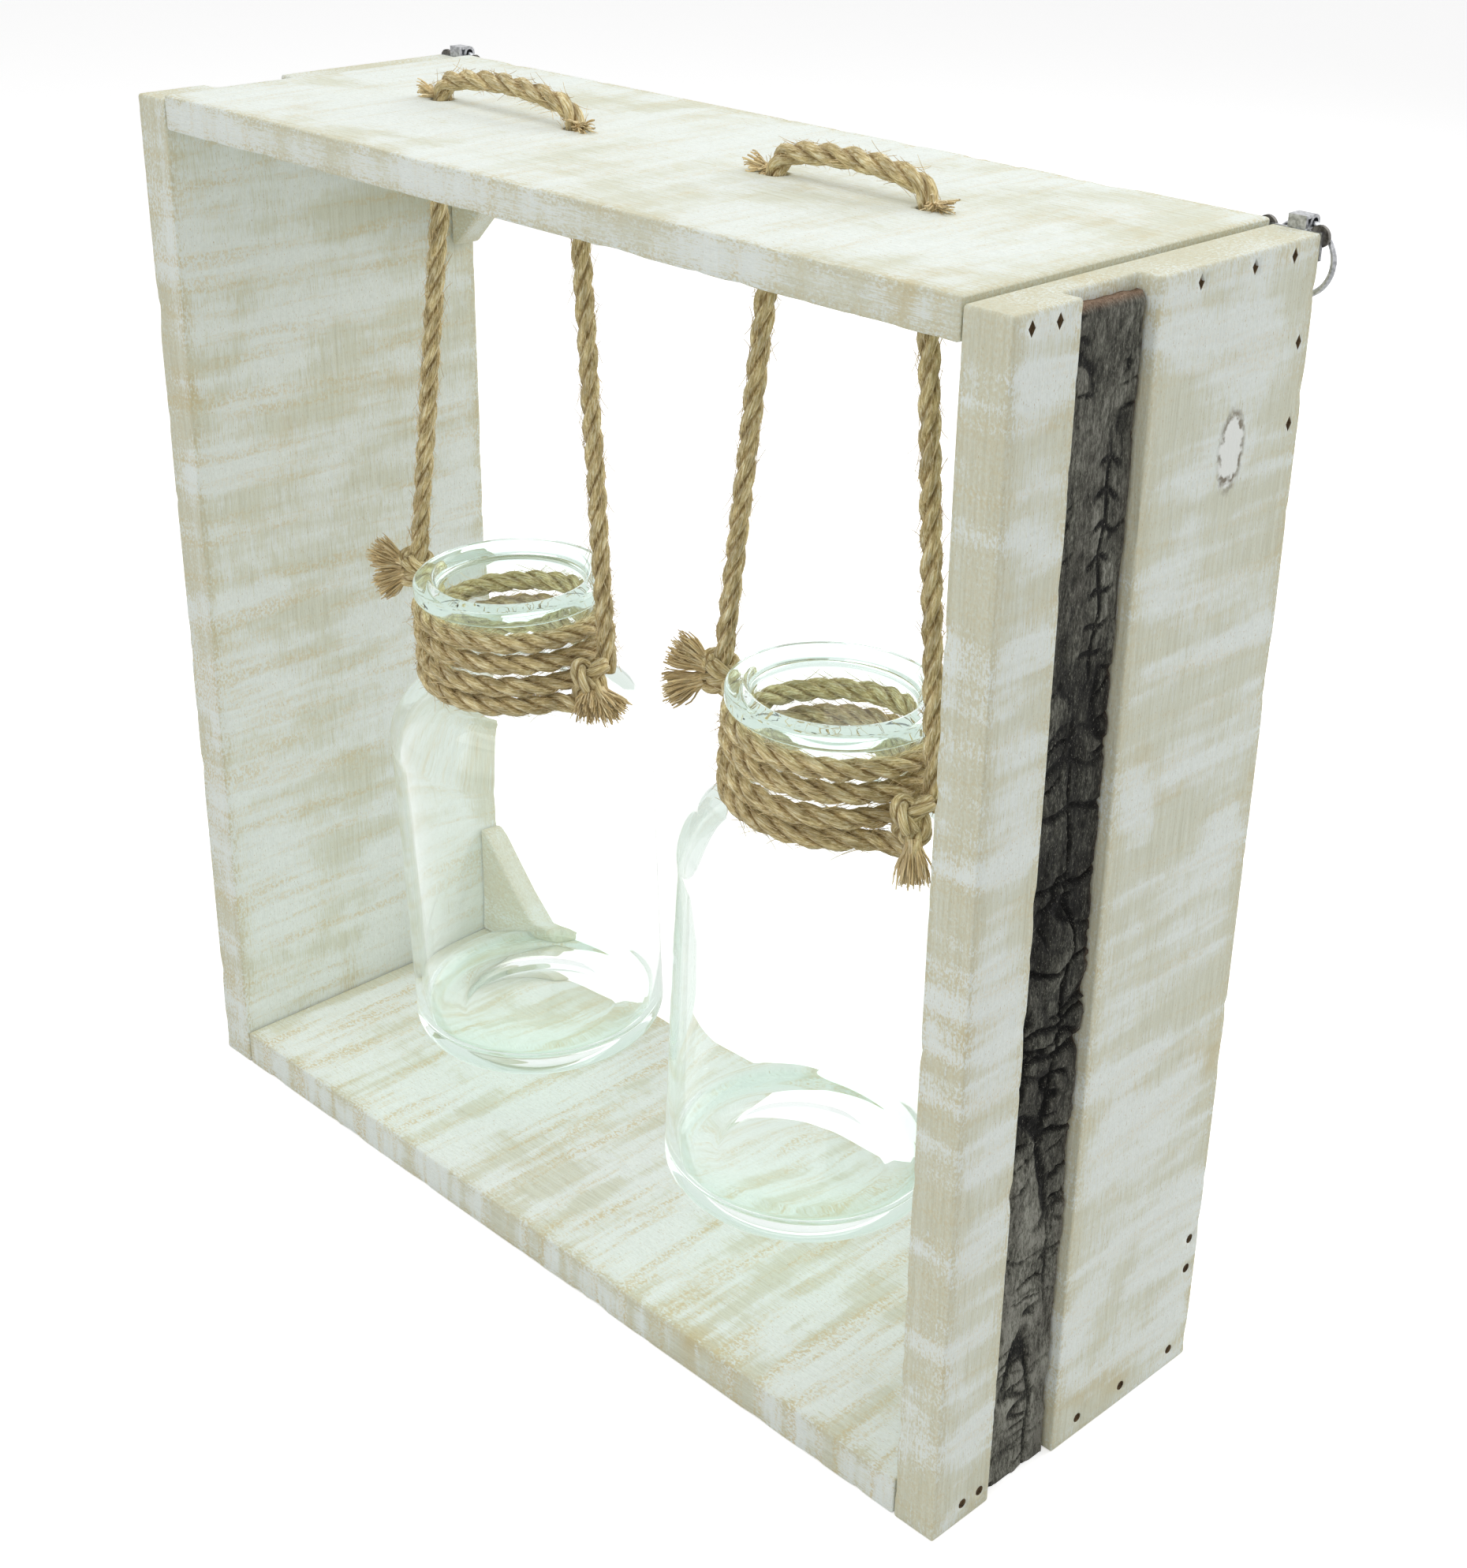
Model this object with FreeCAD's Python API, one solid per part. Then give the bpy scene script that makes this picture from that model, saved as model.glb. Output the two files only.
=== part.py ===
"""Whitewashed wooden frame with two glass jars hung on jute rope.

Millimetres. +X to the right, +Y to the back, +Z up. The origin is the middle of the underside.
"""
import FreeCAD
import Part
import math
import os

Vec = FreeCAD.Vector

# Frame boards
FRAME_W = 400.0             # across both side boards
FRAME_D = 135.0             # depth of every board
TOP_Z = 398.0               # upper face of the top board
SIDE_H = 396.0              # side boards end a little lower than the top board
SIDE_T = 17.0
TOP_T = 12.5
BOTTOM_T = 15.0

# Bark groove in the outer face of each side board
GROOVE_Y = (-39.5, -7.5)    # front and rear wall
GROOVE_DEPTH = 7.5
BARK_T = 4.5
BARK_INSET = 4.0            # the bark stops short of the board's top end
BARK_CLEAR = 0.5            # gap to the groove walls

# Corner gussets, flush with the back
GUSSET_T = 11.5
TOP_GUSSET_LEG = 62.0
BOTTOM_GUSSET_LEG = 57.0

# Nails: distance from the frame's middle plane, and height
NAIL_R = 0.9
NAIL_HEAD_R = 1.7
NAIL_HEAD_T = 1.2
NAIL_SINK = 1.0             # heads sit this far under the surface
NAIL_PLAY = 0.05            # hole against nail, on the radius
FRAME_NAIL_L = 45.0
GUSSET_NAIL_L = 30.0
TOP_NAIL_Y = (-60.0, -49.0, 10.7, 35.6, 54.6)
BOTTOM_NAIL_Y = (-53.2, -44.8, 5.6, 29.2, 56.7)
GUSSET_NAIL_Z = (366.0, 342.0, 52.5, 40.0)

# Hanger at each upper rear corner
HANGER_X = 191.0            # middle of the eye
PLATE_T = 1.0
PLATE_X = (177.0, 199.5)
PLATE_Z = (TOP_Z - 10.0, SIDE_H)
EYE_R = 2.5
EYE_BORE_R = 1.5
EYE_W = 6.0
EYE_Y = FRAME_D / 2 + 4.7
EYE_Z = TOP_Z - 0.7
RING_R = 10.5               # to the middle of the wire
RING_WIRE_R = 0.9
CLOUT_X = (180.5, 198.0)
CLOUT_Z = TOP_Z - 3.4
CLOUT_R = 0.8
CLOUT_L = 16.0
CLOUT_HEAD_R = 3.2
CLOUT_HEAD_T = 1.2

# Rope
ROPE_D = 7.0
ROPE_R = ROPE_D / 2
HOLE_R = 4.1
HOLE_Y = 1.5
PIVOT_Z = TOP_Z - TOP_T     # the legs turn at the underside of the top board
LOOP_BEND_R = 7.5
LOOP_BEND_TURN = 80.0       # degrees, from upright towards level
LOOP_START_DROP = 0.5       # the bend starts this far inside the hole
LOOP_END_GAP = 0.7          # between the loop's end and the top of the leg

# Jar, as radius and depth below the widest circle of its lip
LIP_R = 36.2
NECK_R = 29.8
BODY_R = 49.4
WALL = 2.8
NECK_BORE_R = 26.7
NECK_END = 39.0
SHOULDER_END = 65.3
BODY_END = 179.5
JAR_BOTTOM = 189.7
FLOOR = 182.0               # inner floor
HEEL_R = 43.4
PUNT_R = 29.6               # raised middle of the underside
PUNT_H = 3.0

# Neck winding: rope centre line, its drop in each turn, and the turned-out ends
WIND_R = NECK_R + 0.3 + ROPE_R
WIND_START = 8.3
WIND_DROPS = (7.3, 9.4, 7.3, 7.3)
WIND_STEPS = 14             # about a quarter turn each
STEPS_PER_TURN = 4
END_BEND_R = 10.0
END_BEND = 45.0             # degrees, outwards
END_RUN = 8.0

# Knots
LEG_LIFT = 1.6              # the leg ends this far above the knot's middle, clear of the winding
KNOT_R, KNOT_RUN = 6.4, 2.4         # upper knots: round ends, and the straight run between them
LOW_KNOT_R, LOW_KNOT_RUN = 7.4, 5.0
TAIL_ROOT_R = 3.3

# The two jars: rope holes, lip centre, lean about an axis, the knots as (angle, angle of the leg's foot,
# distance from the jar's axis, height above the winding's end), the knots' frayed tails as (direction,
# length, end radius)
JARS = {
    "left": {
        "holes": (-114.0, -43.5),
        "lip": Vec(-77.7, -3.5, 231.3),
        "lean_axis": Vec(1, 0, 0),
        "lean": 2.7,
        "knots": {"outer": (192.0, 192.0, 45.5, 3.0), "inner": (-3.0, 8.0, 45.0, 11.0)},
        "tails": {
            "outer": ((Vec(-0.75, -0.6, 0.45), 13.0, 5.0), (Vec(-0.7, -0.65, -0.5), 13.0, 5.0)),
            "inner": ((Vec(0.5, -0.5, -0.55), 11.0, 4.5), (Vec(0.75, 0.1, -0.55), 12.0, 4.5)),
        },
    },
    "right": {
        "holes": (49.5, 111.5),
        "lip": Vec(81.9, 1.0, 236.7),
        "lean_axis": Vec(0, 1, 0),
        "lean": 2.7,
        "knots": {"inner": (193.5, 193.5, 43.5, 3.0), "outer": (-11.0, 1.0, 45.0, 11.5)},
        "tails": {
            "inner": ((Vec(-0.7, -0.6, 0.5), 14.0, 5.0), (Vec(-0.7, -0.7, -0.4), 14.0, 4.5)),
            "outer": ((Vec(0.35, -0.3, -1.0), 17.0, 4.5),),
        },
    },
}


def box(x, y, z):
    """Block between two values on each axis."""
    return Part.makeBox(x[1] - x[0], y[1] - y[0], z[1] - z[0], Vec(x[0], y[0], z[0]))


def mirror_x(shape):
    return shape.mirror(Vec(0, 0, 0), Vec(1, 0, 0))


def nail(tip_to_head, head_point, length, play=0.0):
    """Nail with its head's face at head_point; play makes the same shape as a hole."""
    shank = Part.makeCylinder(NAIL_R + play, length, head_point, -tip_to_head)
    head = Part.makeCylinder(NAIL_HEAD_R + play, NAIL_HEAD_T, head_point, -tip_to_head)
    return shank.fuse(head).removeSplitter()


def side_nails(play=0.0):
    """Nails through the right side board: first those into the boards, then those into the gussets."""
    out = Vec(1, 0, 0)
    face_x = FRAME_W / 2 - NAIL_SINK
    top_z = TOP_Z - TOP_T / 2
    rows = [(y, top_z) for y in TOP_NAIL_Y] + [(y, BOTTOM_T / 2) for y in BOTTOM_NAIL_Y]
    frame_nails = [nail(out, Vec(face_x, y, z), FRAME_NAIL_L, play) for y, z in rows]
    gusset_y = FRAME_D / 2 - GUSSET_T / 2
    gusset_nails = [nail(out, Vec(face_x, gusset_y, z), GUSSET_NAIL_L, play) for z in GUSSET_NAIL_Z]
    return frame_nails, gusset_nails


def nail_cutters():
    """All nail holes of the right side, with the open counterbore above each sunk head."""
    frame_nails, gusset_nails = side_nails(NAIL_PLAY)
    cutters = frame_nails + gusset_nails
    for hole in list(cutters):
        head = hole.BoundBox
        centre = Vec(FRAME_W / 2 - NAIL_SINK, head.Center.y, head.Center.z)
        cutters.append(Part.makeCylinder(NAIL_HEAD_R + NAIL_PLAY, NAIL_SINK, centre, Vec(1, 0, 0)))
    return cutters


def clout_nails(play=0.0):
    """Clout nails of the right hanger, driven in from the back."""
    back = Vec(0, 1, 0)
    face_y = FRAME_D / 2 + PLATE_T
    nails = []
    for x in CLOUT_X:
        shank = Part.makeCylinder(CLOUT_R + play, CLOUT_L, Vec(x, face_y, CLOUT_Z), -back)
        head = Part.makeCylinder(CLOUT_HEAD_R, CLOUT_HEAD_T, Vec(x, face_y, CLOUT_Z), back)
        nails.append(shank if play else shank.fuse(head).removeSplitter())
    return nails


def both_sides(shapes):
    return shapes + [mirror_x(shape) for shape in shapes]


def top_board(nail_holes):
    inner = FRAME_W / 2 - SIDE_T
    board = box((-inner, inner), (-FRAME_D / 2, FRAME_D / 2), (TOP_Z - TOP_T, TOP_Z))
    for jar in JARS.values():
        for x in jar["holes"]:
            board = board.cut(Part.makeCylinder(HOLE_R, TOP_T, Vec(x, HOLE_Y, TOP_Z - TOP_T)))
    return board.cut(both_sides(nail_holes))


def bottom_board(nail_holes):
    inner = FRAME_W / 2 - SIDE_T
    board = box((-inner, inner), (-FRAME_D / 2, FRAME_D / 2), (0, BOTTOM_T))
    return board.cut(both_sides(nail_holes))


def side_board(nail_holes):
    """Right side board with its groove."""
    outer = FRAME_W / 2
    board = box((outer - SIDE_T, outer), (-FRAME_D / 2, FRAME_D / 2), (0, SIDE_H))
    groove = box((outer - GROOVE_DEPTH, outer + 1), GROOVE_Y, (-1, SIDE_H + 1))
    return board.cut(groove).cut(nail_holes)


def bark_strip():
    """Right bark strip, a flat core on which the rough bark stands."""
    floor_x = FRAME_W / 2 - GROOVE_DEPTH
    wide = (GROOVE_Y[0] + BARK_CLEAR, GROOVE_Y[1] - BARK_CLEAR)
    return box((floor_x, floor_x + BARK_T), wide, (0, SIDE_H - BARK_INSET))


def gusset(corner_z, leg, up, nail_holes):
    """Right gusset in the corner at corner_z; up is 1 where it stands on the bottom board."""
    inner = FRAME_W / 2 - SIDE_T
    front = FRAME_D / 2 - GUSSET_T
    corners = [Vec(inner, front, corner_z), Vec(inner - leg, front, corner_z),
               Vec(inner, front, corner_z + up * leg), Vec(inner, front, corner_z)]
    block = Part.Face(Part.makePolygon(corners)).extrude(Vec(0, GUSSET_T, 0))
    return block.cut(nail_holes)


def hanger_plate():
    """Right hanger strap: nailed plate, tongue and the eye rolled at its top."""
    face_y = FRAME_D / 2
    half = EYE_W / 2
    plate = box(PLATE_X, (face_y, face_y + PLATE_T), PLATE_Z)
    tongue_x = (HANGER_X - half, HANGER_X + half)
    tongue = box(tongue_x, (face_y, face_y + PLATE_T), (PLATE_Z[0], EYE_Z + EYE_R))
    bridge = box(tongue_x, (face_y, EYE_Y), (EYE_Z + EYE_BORE_R, EYE_Z + EYE_R))
    eye = Part.makeCylinder(EYE_R, EYE_W, Vec(tongue_x[0], EYE_Y, EYE_Z), Vec(1, 0, 0))
    bore = Part.makeCylinder(EYE_BORE_R, EYE_W, Vec(tongue_x[0], EYE_Y, EYE_Z), Vec(1, 0, 0))
    strap = plate.fuse([tongue, bridge, eye]).cut(bore).cut(clout_nails(NAIL_PLAY))
    return strap.removeSplitter()


def hanger_ring():
    """Right ring, hanging down from the eye."""
    return Part.makeTorus(RING_R, RING_WIRE_R, Vec(HANGER_X, EYE_Y, EYE_Z - RING_R), Vec(0, 1, 0))


def arc(a, b, c):
    return Part.Arc(a, b, c).toShape()


def line(a, b):
    return Part.LineSegment(a, b).toShape()


def jar_solid():
    """Pressed glass jar, turned about its axis; the lip's widest circle is at height 0."""
    def at(r, depth):
        return Vec(r, 0, -depth)

    inner_r = BODY_R - WALL
    shoulder_in = NECK_END + 2.7
    edges = [
        line(at(0, JAR_BOTTOM - PUNT_H), at(PUNT_R - 1.5, JAR_BOTTOM - PUNT_H)),
        line(at(PUNT_R - 1.5, JAR_BOTTOM - PUNT_H), at(PUNT_R + 1.5, JAR_BOTTOM - 0.8)),
        line(at(PUNT_R + 1.5, JAR_BOTTOM - 0.8), at(HEEL_R - 3, JAR_BOTTOM)),
        line(at(HEEL_R - 3, JAR_BOTTOM), at(HEEL_R, JAR_BOTTOM)),
        arc(at(HEEL_R, JAR_BOTTOM), at(47.9, JAR_BOTTOM - 3.5), at(BODY_R, BODY_END)),
        line(at(BODY_R, BODY_END), at(BODY_R, SHOULDER_END)),
        arc(at(BODY_R, SHOULDER_END), at(44.1, 47.7), at(32.4, NECK_END + 2.8)),
        arc(at(32.4, NECK_END + 2.8), at(30.5, NECK_END + 1.9), at(NECK_R, NECK_END)),
        line(at(NECK_R, NECK_END), at(NECK_R, 5.3)),
        arc(at(NECK_R, 5.3), at(30.2, 4.4), at(31.1, 4.1)),
        line(at(31.1, 4.1), at(34.7, 3.7)),
        arc(at(34.7, 3.7), at(35.8, 3.2), at(LIP_R, 2.0)),
        line(at(LIP_R, 2.0), at(LIP_R, -0.5)),
        arc(at(LIP_R, -0.5), at(35.7, -1.8), at(34.5, -2.3)),
        line(at(34.5, -2.3), at(30.2, -3.1)),
        arc(at(30.2, -3.1), at(28.9, -2.6), at(28.4, -1.2)),
        line(at(28.4, -1.2), at(NECK_BORE_R, 3.6)),
        line(at(NECK_BORE_R, 3.6), at(NECK_BORE_R, shoulder_in)),
        arc(at(NECK_BORE_R, shoulder_in), at(42.1, 51.2), at(inner_r, SHOULDER_END + 2)),
        line(at(inner_r, SHOULDER_END + 2), at(inner_r, BODY_END - 4)),
        arc(at(inner_r, BODY_END - 4), at(44.8, FLOOR - 1.9), at(40.6, FLOOR)),
        line(at(40.6, FLOOR), at(0, FLOOR)),
        line(at(0, FLOOR), at(0, JAR_BOTTOM - PUNT_H)),
    ]
    profile = Part.Face(Part.Wire(edges))
    return profile.revolve(Vec(0, 0, 0), Vec(0, 0, 1), 360)


def biarc(p0, t0, p1, t1):
    """Two arcs from p0 to p1 that leave along t0 and arrive along t1."""
    chord = p1 - p0
    both = t0 + t1
    a = both.dot(both) - 4
    b = -2 * chord.dot(both)
    c = chord.dot(chord)
    reach = (-b - math.sqrt(b * b - 4 * a * c)) / (2 * a)
    corner0 = p0 + t0 * reach
    corner1 = p1 - t1 * reach
    join = (corner0 + corner1) * 0.5
    return [corner_arc(p0, corner0, join), corner_arc(join, corner1, p1)]


def corner_arc(start, corner, end):
    """Arc from start to end, tangent to both lines through corner."""
    middle = (start + end) * 0.5
    half = (end - start).Length / 2
    rise = (corner - middle).Length
    lean = math.atan2(rise, half)
    top = middle + (corner - middle) * (half * math.tan(lean / 2) / rise)
    return arc(start, top, end)


def tube(edges, radius):
    """Round tube along tangent edges, with its volume held against section times length."""
    path = Part.Wire(edges)
    start = edges[0].Vertexes[0].Point
    along = edges[0].tangentAt(edges[0].FirstParameter)
    ring = Part.Wire(Part.Circle(start, along, radius).toShape())
    solid = path.makePipeShell([ring], True, False)
    expected = math.pi * radius ** 2 * path.Length
    return solid, path, solid.Volume / expected


def winding_depth(step):
    """Depth of the winding's centre line after so many steps."""
    turn = int(step // STEPS_PER_TURN)
    part = step - turn * STEPS_PER_TURN
    return WIND_START + sum(WIND_DROPS[:turn]) + WIND_DROPS[min(turn, 3)] * part / STEPS_PER_TURN


def turned_out_angle():
    """Angle about the jar between the winding's last full radius and the end of its straight run."""
    turn = math.radians(END_BEND)
    out = WIND_R + END_BEND_R * (1 - math.cos(turn)) + END_RUN * math.sin(turn)
    along = END_BEND_R * math.sin(turn) + END_RUN * math.cos(turn)
    return math.degrees(math.atan2(along, out))


def winding(knots):
    """Neck winding from the upper knot, round the front first, down to the lower knot."""
    upper, lower = sorted((tied[0] for tied in knots.values()), reverse=True)
    first = math.radians(upper + turned_out_angle())
    last = math.radians(lower - turned_out_angle() + 360 * 4)
    turn = math.radians(END_BEND)

    def point(step):
        angle = first + (last - first) * step / WIND_STEPS
        return Vec(WIND_R * math.cos(angle), WIND_R * math.sin(angle), -winding_depth(step))

    def direction(step):
        small = 0.001
        move = point(step + small) - point(step)
        return move.normalize()

    def end_frame(step, side):
        """Bend and straight run at an end: side is 1 after the last step and -1 before the first."""
        here = point(step)
        outward = Vec(here.x, here.y, 0).normalize()
        onward = Vec(-outward.y, outward.x, 0) * side
        bend = here + outward * (END_BEND_R * (1 - math.cos(turn))) + onward * (END_BEND_R * math.sin(turn))
        heading = outward * math.sin(turn) + onward * math.cos(turn)
        return here, bend, heading, bend + heading * END_RUN

    start, start_bend, start_heading, start_tip = end_frame(0, -1)
    end, end_bend, end_heading, end_tip = end_frame(WIND_STEPS, 1)
    edges = [line(start_tip, start_bend)]
    edges += biarc(start_bend, -start_heading, start, direction(0))
    for step in range(WIND_STEPS):
        edges += biarc(point(step), direction(step), point(step + 1), direction(step + 1))
    edges += biarc(end, direction(WIND_STEPS), end_bend, end_heading)
    edges.append(line(end_bend, end_tip))
    return tube(edges, ROPE_R)


def least_gap(path):
    """Least gap between stretches of a winding that lie more than half a turn apart."""
    step = 1.5
    points = path.discretize(Distance=step)
    skip = int(math.pi * WIND_R / step)
    near = min((a - b).Length for i, a in enumerate(points) for b in points[i + skip:])
    return near - ROPE_D


def knot(centre, radius, run, tails, cutters):
    """Knot of rope, longest upright, with its frayed tails."""
    low = centre - Vec(0, 0, run / 2)
    lumps = [Part.makeSphere(radius, low), Part.makeSphere(radius, low + Vec(0, 0, run))]
    for heading, length, end_r in tails:
        lumps.append(Part.makeCone(TAIL_ROOT_R, end_r, length + radius, centre, heading))
    body = Part.makeCylinder(radius, run, low).fuse(lumps).cut(cutters)
    return max(body.Solids, key=lambda solid: solid.Volume)


def rope_leg(pivot, foot):
    """Taut leg from the knot up to the pivot, where its round end turns in the hole."""
    along = pivot - foot
    shaft = Part.makeCylinder(ROPE_R, along.Length, foot, along)
    return shaft.fuse(Part.makeSphere(ROPE_R, pivot)).removeSplitter()


def rope_loop(holes):
    """Stretch of rope across the top board, from inside one hole to inside the other."""
    turn = math.radians(LOOP_BEND_TURN)
    low = PIVOT_Z + ROPE_R + LOOP_END_GAP
    spring = TOP_Z - LOOP_START_DROP
    reach = LOOP_BEND_R * (1 - math.cos(turn))
    rise = LOOP_BEND_R * math.sin(turn)
    left, right = holes
    middle = (left + right) / 2
    level = math.pi / 2 - turn
    half = middle - left - reach
    crown = spring + rise + half * math.tan(level / 2)

    def at(x, z):
        return Vec(x, HOLE_Y, z)

    def bend_point(x, side, angle):
        return at(x + side * LOOP_BEND_R * (1 - math.cos(angle)), spring + LOOP_BEND_R * math.sin(angle))

    crown_r = half / math.sin(level)
    quarter = level / 2
    quarter_x = crown_r * math.sin(quarter)
    quarter_z = crown - crown_r * (1 - math.cos(quarter))
    edges = [
        line(at(left, low), at(left, spring)),
        arc(at(left, spring), bend_point(left, 1, turn / 2), bend_point(left, 1, turn)),
        arc(bend_point(left, 1, turn), at(middle - quarter_x, quarter_z), at(middle, crown)),
        arc(at(middle, crown), at(middle + quarter_x, quarter_z), bend_point(right, -1, turn)),
        arc(bend_point(right, -1, turn), bend_point(right, -1, turn / 2), at(right, spring)),
        line(at(right, spring), at(right, low)),
    ]
    print("loop bend radii", LOOP_BEND_R, round(crown_r, 1))
    return tube(edges, ROPE_R)


def on_circle(radius, angle, height):
    turn = math.radians(angle)
    return Vec(radius * math.cos(turn), radius * math.sin(turn), height)


def jar_group(side, jar):
    """Every node of one jar and its rope, in the frame's axes."""
    lean = FreeCAD.Placement(jar["lip"], FreeCAD.Rotation(jar["lean_axis"], jar["lean"]))
    wound, path, fill = winding(jar["knots"])
    print(side, "winding length", round(path.Length, 1), "fill", round(fill, 4),
          "least gap", round(least_gap(path), 2))
    glass = jar_solid()
    glass.Placement = lean
    wound.Placement = lean
    loop, loop_path, loop_fill = rope_loop(jar["holes"])
    print(side, "loop length", round(loop_path.Length, 1), "fill", round(loop_fill, 4))
    nodes = {f"{side}_jar": glass, f"{side}_neck_winding": wound, f"{side}_rope_loop": loop}
    for place, (angle, leg_angle, distance, lift) in jar["knots"].items():
        high = angle > 90
        level = lift - winding_depth(0 if high else WIND_STEPS)
        centre = lean.multVec(on_circle(distance, angle, level))
        foot = lean.multVec(on_circle(distance, leg_angle, level))
        hole_x = min(jar["holes"], key=lambda x: abs(x - centre.x))
        pivot = Vec(hole_x, HOLE_Y, PIVOT_Z)
        leg = rope_leg(pivot, foot + (pivot - foot).normalize() * LEG_LIFT)
        radius, run = (KNOT_R, KNOT_RUN) if high else (LOW_KNOT_R, LOW_KNOT_RUN)
        tied = knot(centre, radius, run, jar["tails"][place], [glass, wound, leg])
        nodes[f"{side}_{place}_rope_leg"] = leg
        nodes[f"{side}_{place}_knot"] = tied
        print(side, place, "knot", [round(v, 1) for v in centre], "leg foot", [round(v, 1) for v in foot],
              "leg length", round((pivot - foot).Length, 1))
    return nodes


def frame_group():
    """Every wooden and metal node of the frame."""
    holes = nail_cutters()
    frame_nails, gusset_nails = side_nails()
    right = {
        "side_board": side_board(holes + clout_nails(NAIL_PLAY)),
        "bark_strip": bark_strip(),
        "frame_nails": Part.makeCompound(frame_nails),
        "hanger_plate": hanger_plate(),
        "hanger_ring": hanger_ring(),
    }
    nodes = {"top_board": top_board(holes + clout_nails(NAIL_PLAY)), "bottom_board": bottom_board(holes)}
    for name, shape in right.items():
        nodes["right_" + name] = shape
        nodes["left_" + name] = mirror_x(shape)
    for name, corner_z, leg, up in (("top", TOP_Z - TOP_T, TOP_GUSSET_LEG, -1),
                                    ("bottom", BOTTOM_T, BOTTOM_GUSSET_LEG, 1)):
        block = gusset(corner_z, leg, up, holes)
        nodes[name + "_right_gusset"] = block
        nodes[name + "_left_gusset"] = mirror_x(block)
    nodes["gusset_nails"] = Part.makeCompound(both_sides(gusset_nails))
    nodes["hanger_nails"] = Part.makeCompound(both_sides(clout_nails()))
    return nodes


os.makedirs("parts", exist_ok=True)
model = frame_group()
for jar_side, jar_sizes in JARS.items():
    model.update(jar_group(jar_side, jar_sizes))
for node, node_shape in model.items():
    node_shape.exportStep(f"parts/{node}.step")
    print(node, len(node_shape.Solids), "solids", round(node_shape.Volume / 1000, 2), "cm3",
          "valid" if node_shape.isValid() else "NOT VALID")
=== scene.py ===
import math
import random

import bmesh
import bpy
from mathutils import Matrix, Vector, noise


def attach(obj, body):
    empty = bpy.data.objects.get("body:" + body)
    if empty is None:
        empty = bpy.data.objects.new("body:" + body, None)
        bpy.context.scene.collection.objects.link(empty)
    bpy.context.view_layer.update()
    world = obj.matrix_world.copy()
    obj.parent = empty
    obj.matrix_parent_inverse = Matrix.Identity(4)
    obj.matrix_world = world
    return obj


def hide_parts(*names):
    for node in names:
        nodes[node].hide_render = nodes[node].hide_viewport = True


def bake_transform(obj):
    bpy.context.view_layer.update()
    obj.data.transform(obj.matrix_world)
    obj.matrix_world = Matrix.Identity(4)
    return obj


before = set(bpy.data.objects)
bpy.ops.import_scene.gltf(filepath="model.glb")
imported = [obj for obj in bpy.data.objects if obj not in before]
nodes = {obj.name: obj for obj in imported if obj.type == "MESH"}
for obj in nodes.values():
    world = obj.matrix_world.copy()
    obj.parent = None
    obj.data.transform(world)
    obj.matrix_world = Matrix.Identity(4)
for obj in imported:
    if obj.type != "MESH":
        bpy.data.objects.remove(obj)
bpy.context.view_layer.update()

# Camera: a short telephoto on a stand, to the right of the frame and a little above it,
# turned down onto it. Its slight roll is kept.
camera_data = bpy.data.cameras.new("camera")
camera_data.sensor_fit = "VERTICAL"
camera_data.sensor_height = 36.0
camera_data.lens = 53.93
camera = bpy.data.objects.new("camera", camera_data)
forward = Vector((-0.63911, 0.63016, -0.44095)).normalized()
right = forward.cross(Vector((-0.32449, 0.29887, 0.89743))).normalized()
camera.matrix_world = Matrix.Translation((0.55497, -0.51119, 0.54540)) @ Matrix(
    (right, right.cross(forward), -forward)
).transposed().to_4x4()
bpy.context.scene.collection.objects.link(camera)
bpy.context.scene.camera = camera

# Suspension ropes: one three-strand jute rope to each jar. It comes up from a knot at the jar's neck,
# through the top board, across it in a low bow, down through the next hole and to the second knot.
ROPE_D = 0.007
PIVOT_Z = 0.3855
HOLE_Y = 0.0015
SPRING_Z = 0.3975
IN_HOLE_Z = (0.3895, 0.3935, SPRING_Z)
BOW_R, BOW_TURN = 0.0075, math.radians(80)
STEP = 0.0009
# A knot is given as its angle about the jar, the angle of its leg's foot, its distance and its level.
JARS = {
    "left": {
        "holes": (-0.114, -0.0435),
        "lean": Matrix.Translation((-0.0777, -0.0035, 0.2313)) @ Matrix.Rotation(math.radians(2.7), 4, "X"),
        "knots": {"outer": (192.0, 192.0, 0.0455, -0.0053), "inner": (-3.0, 8.0, 0.045, -0.02495)},
    },
    "right": {
        "holes": (0.0495, 0.1115),
        "lean": Matrix.Translation((0.0819, 0.001, 0.2367)) @ Matrix.Rotation(math.radians(2.7), 4, "Y"),
        "knots": {"inner": (193.5, 193.5, 0.0435, -0.0053), "outer": (-11.0, 1.0, 0.045, -0.02445)},
    },
}


def knot_places(side, place):
    """Middle of a knot, and the foot of the leg that is tied into it."""
    angle, leg_angle, out, level = JARS[side]["knots"][place]
    spots = []
    for turn in (math.radians(angle), math.radians(leg_angle)):
        spots.append(JARS[side]["lean"] @ Vector((out * math.cos(turn), out * math.sin(turn), level)))
    return spots


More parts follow.
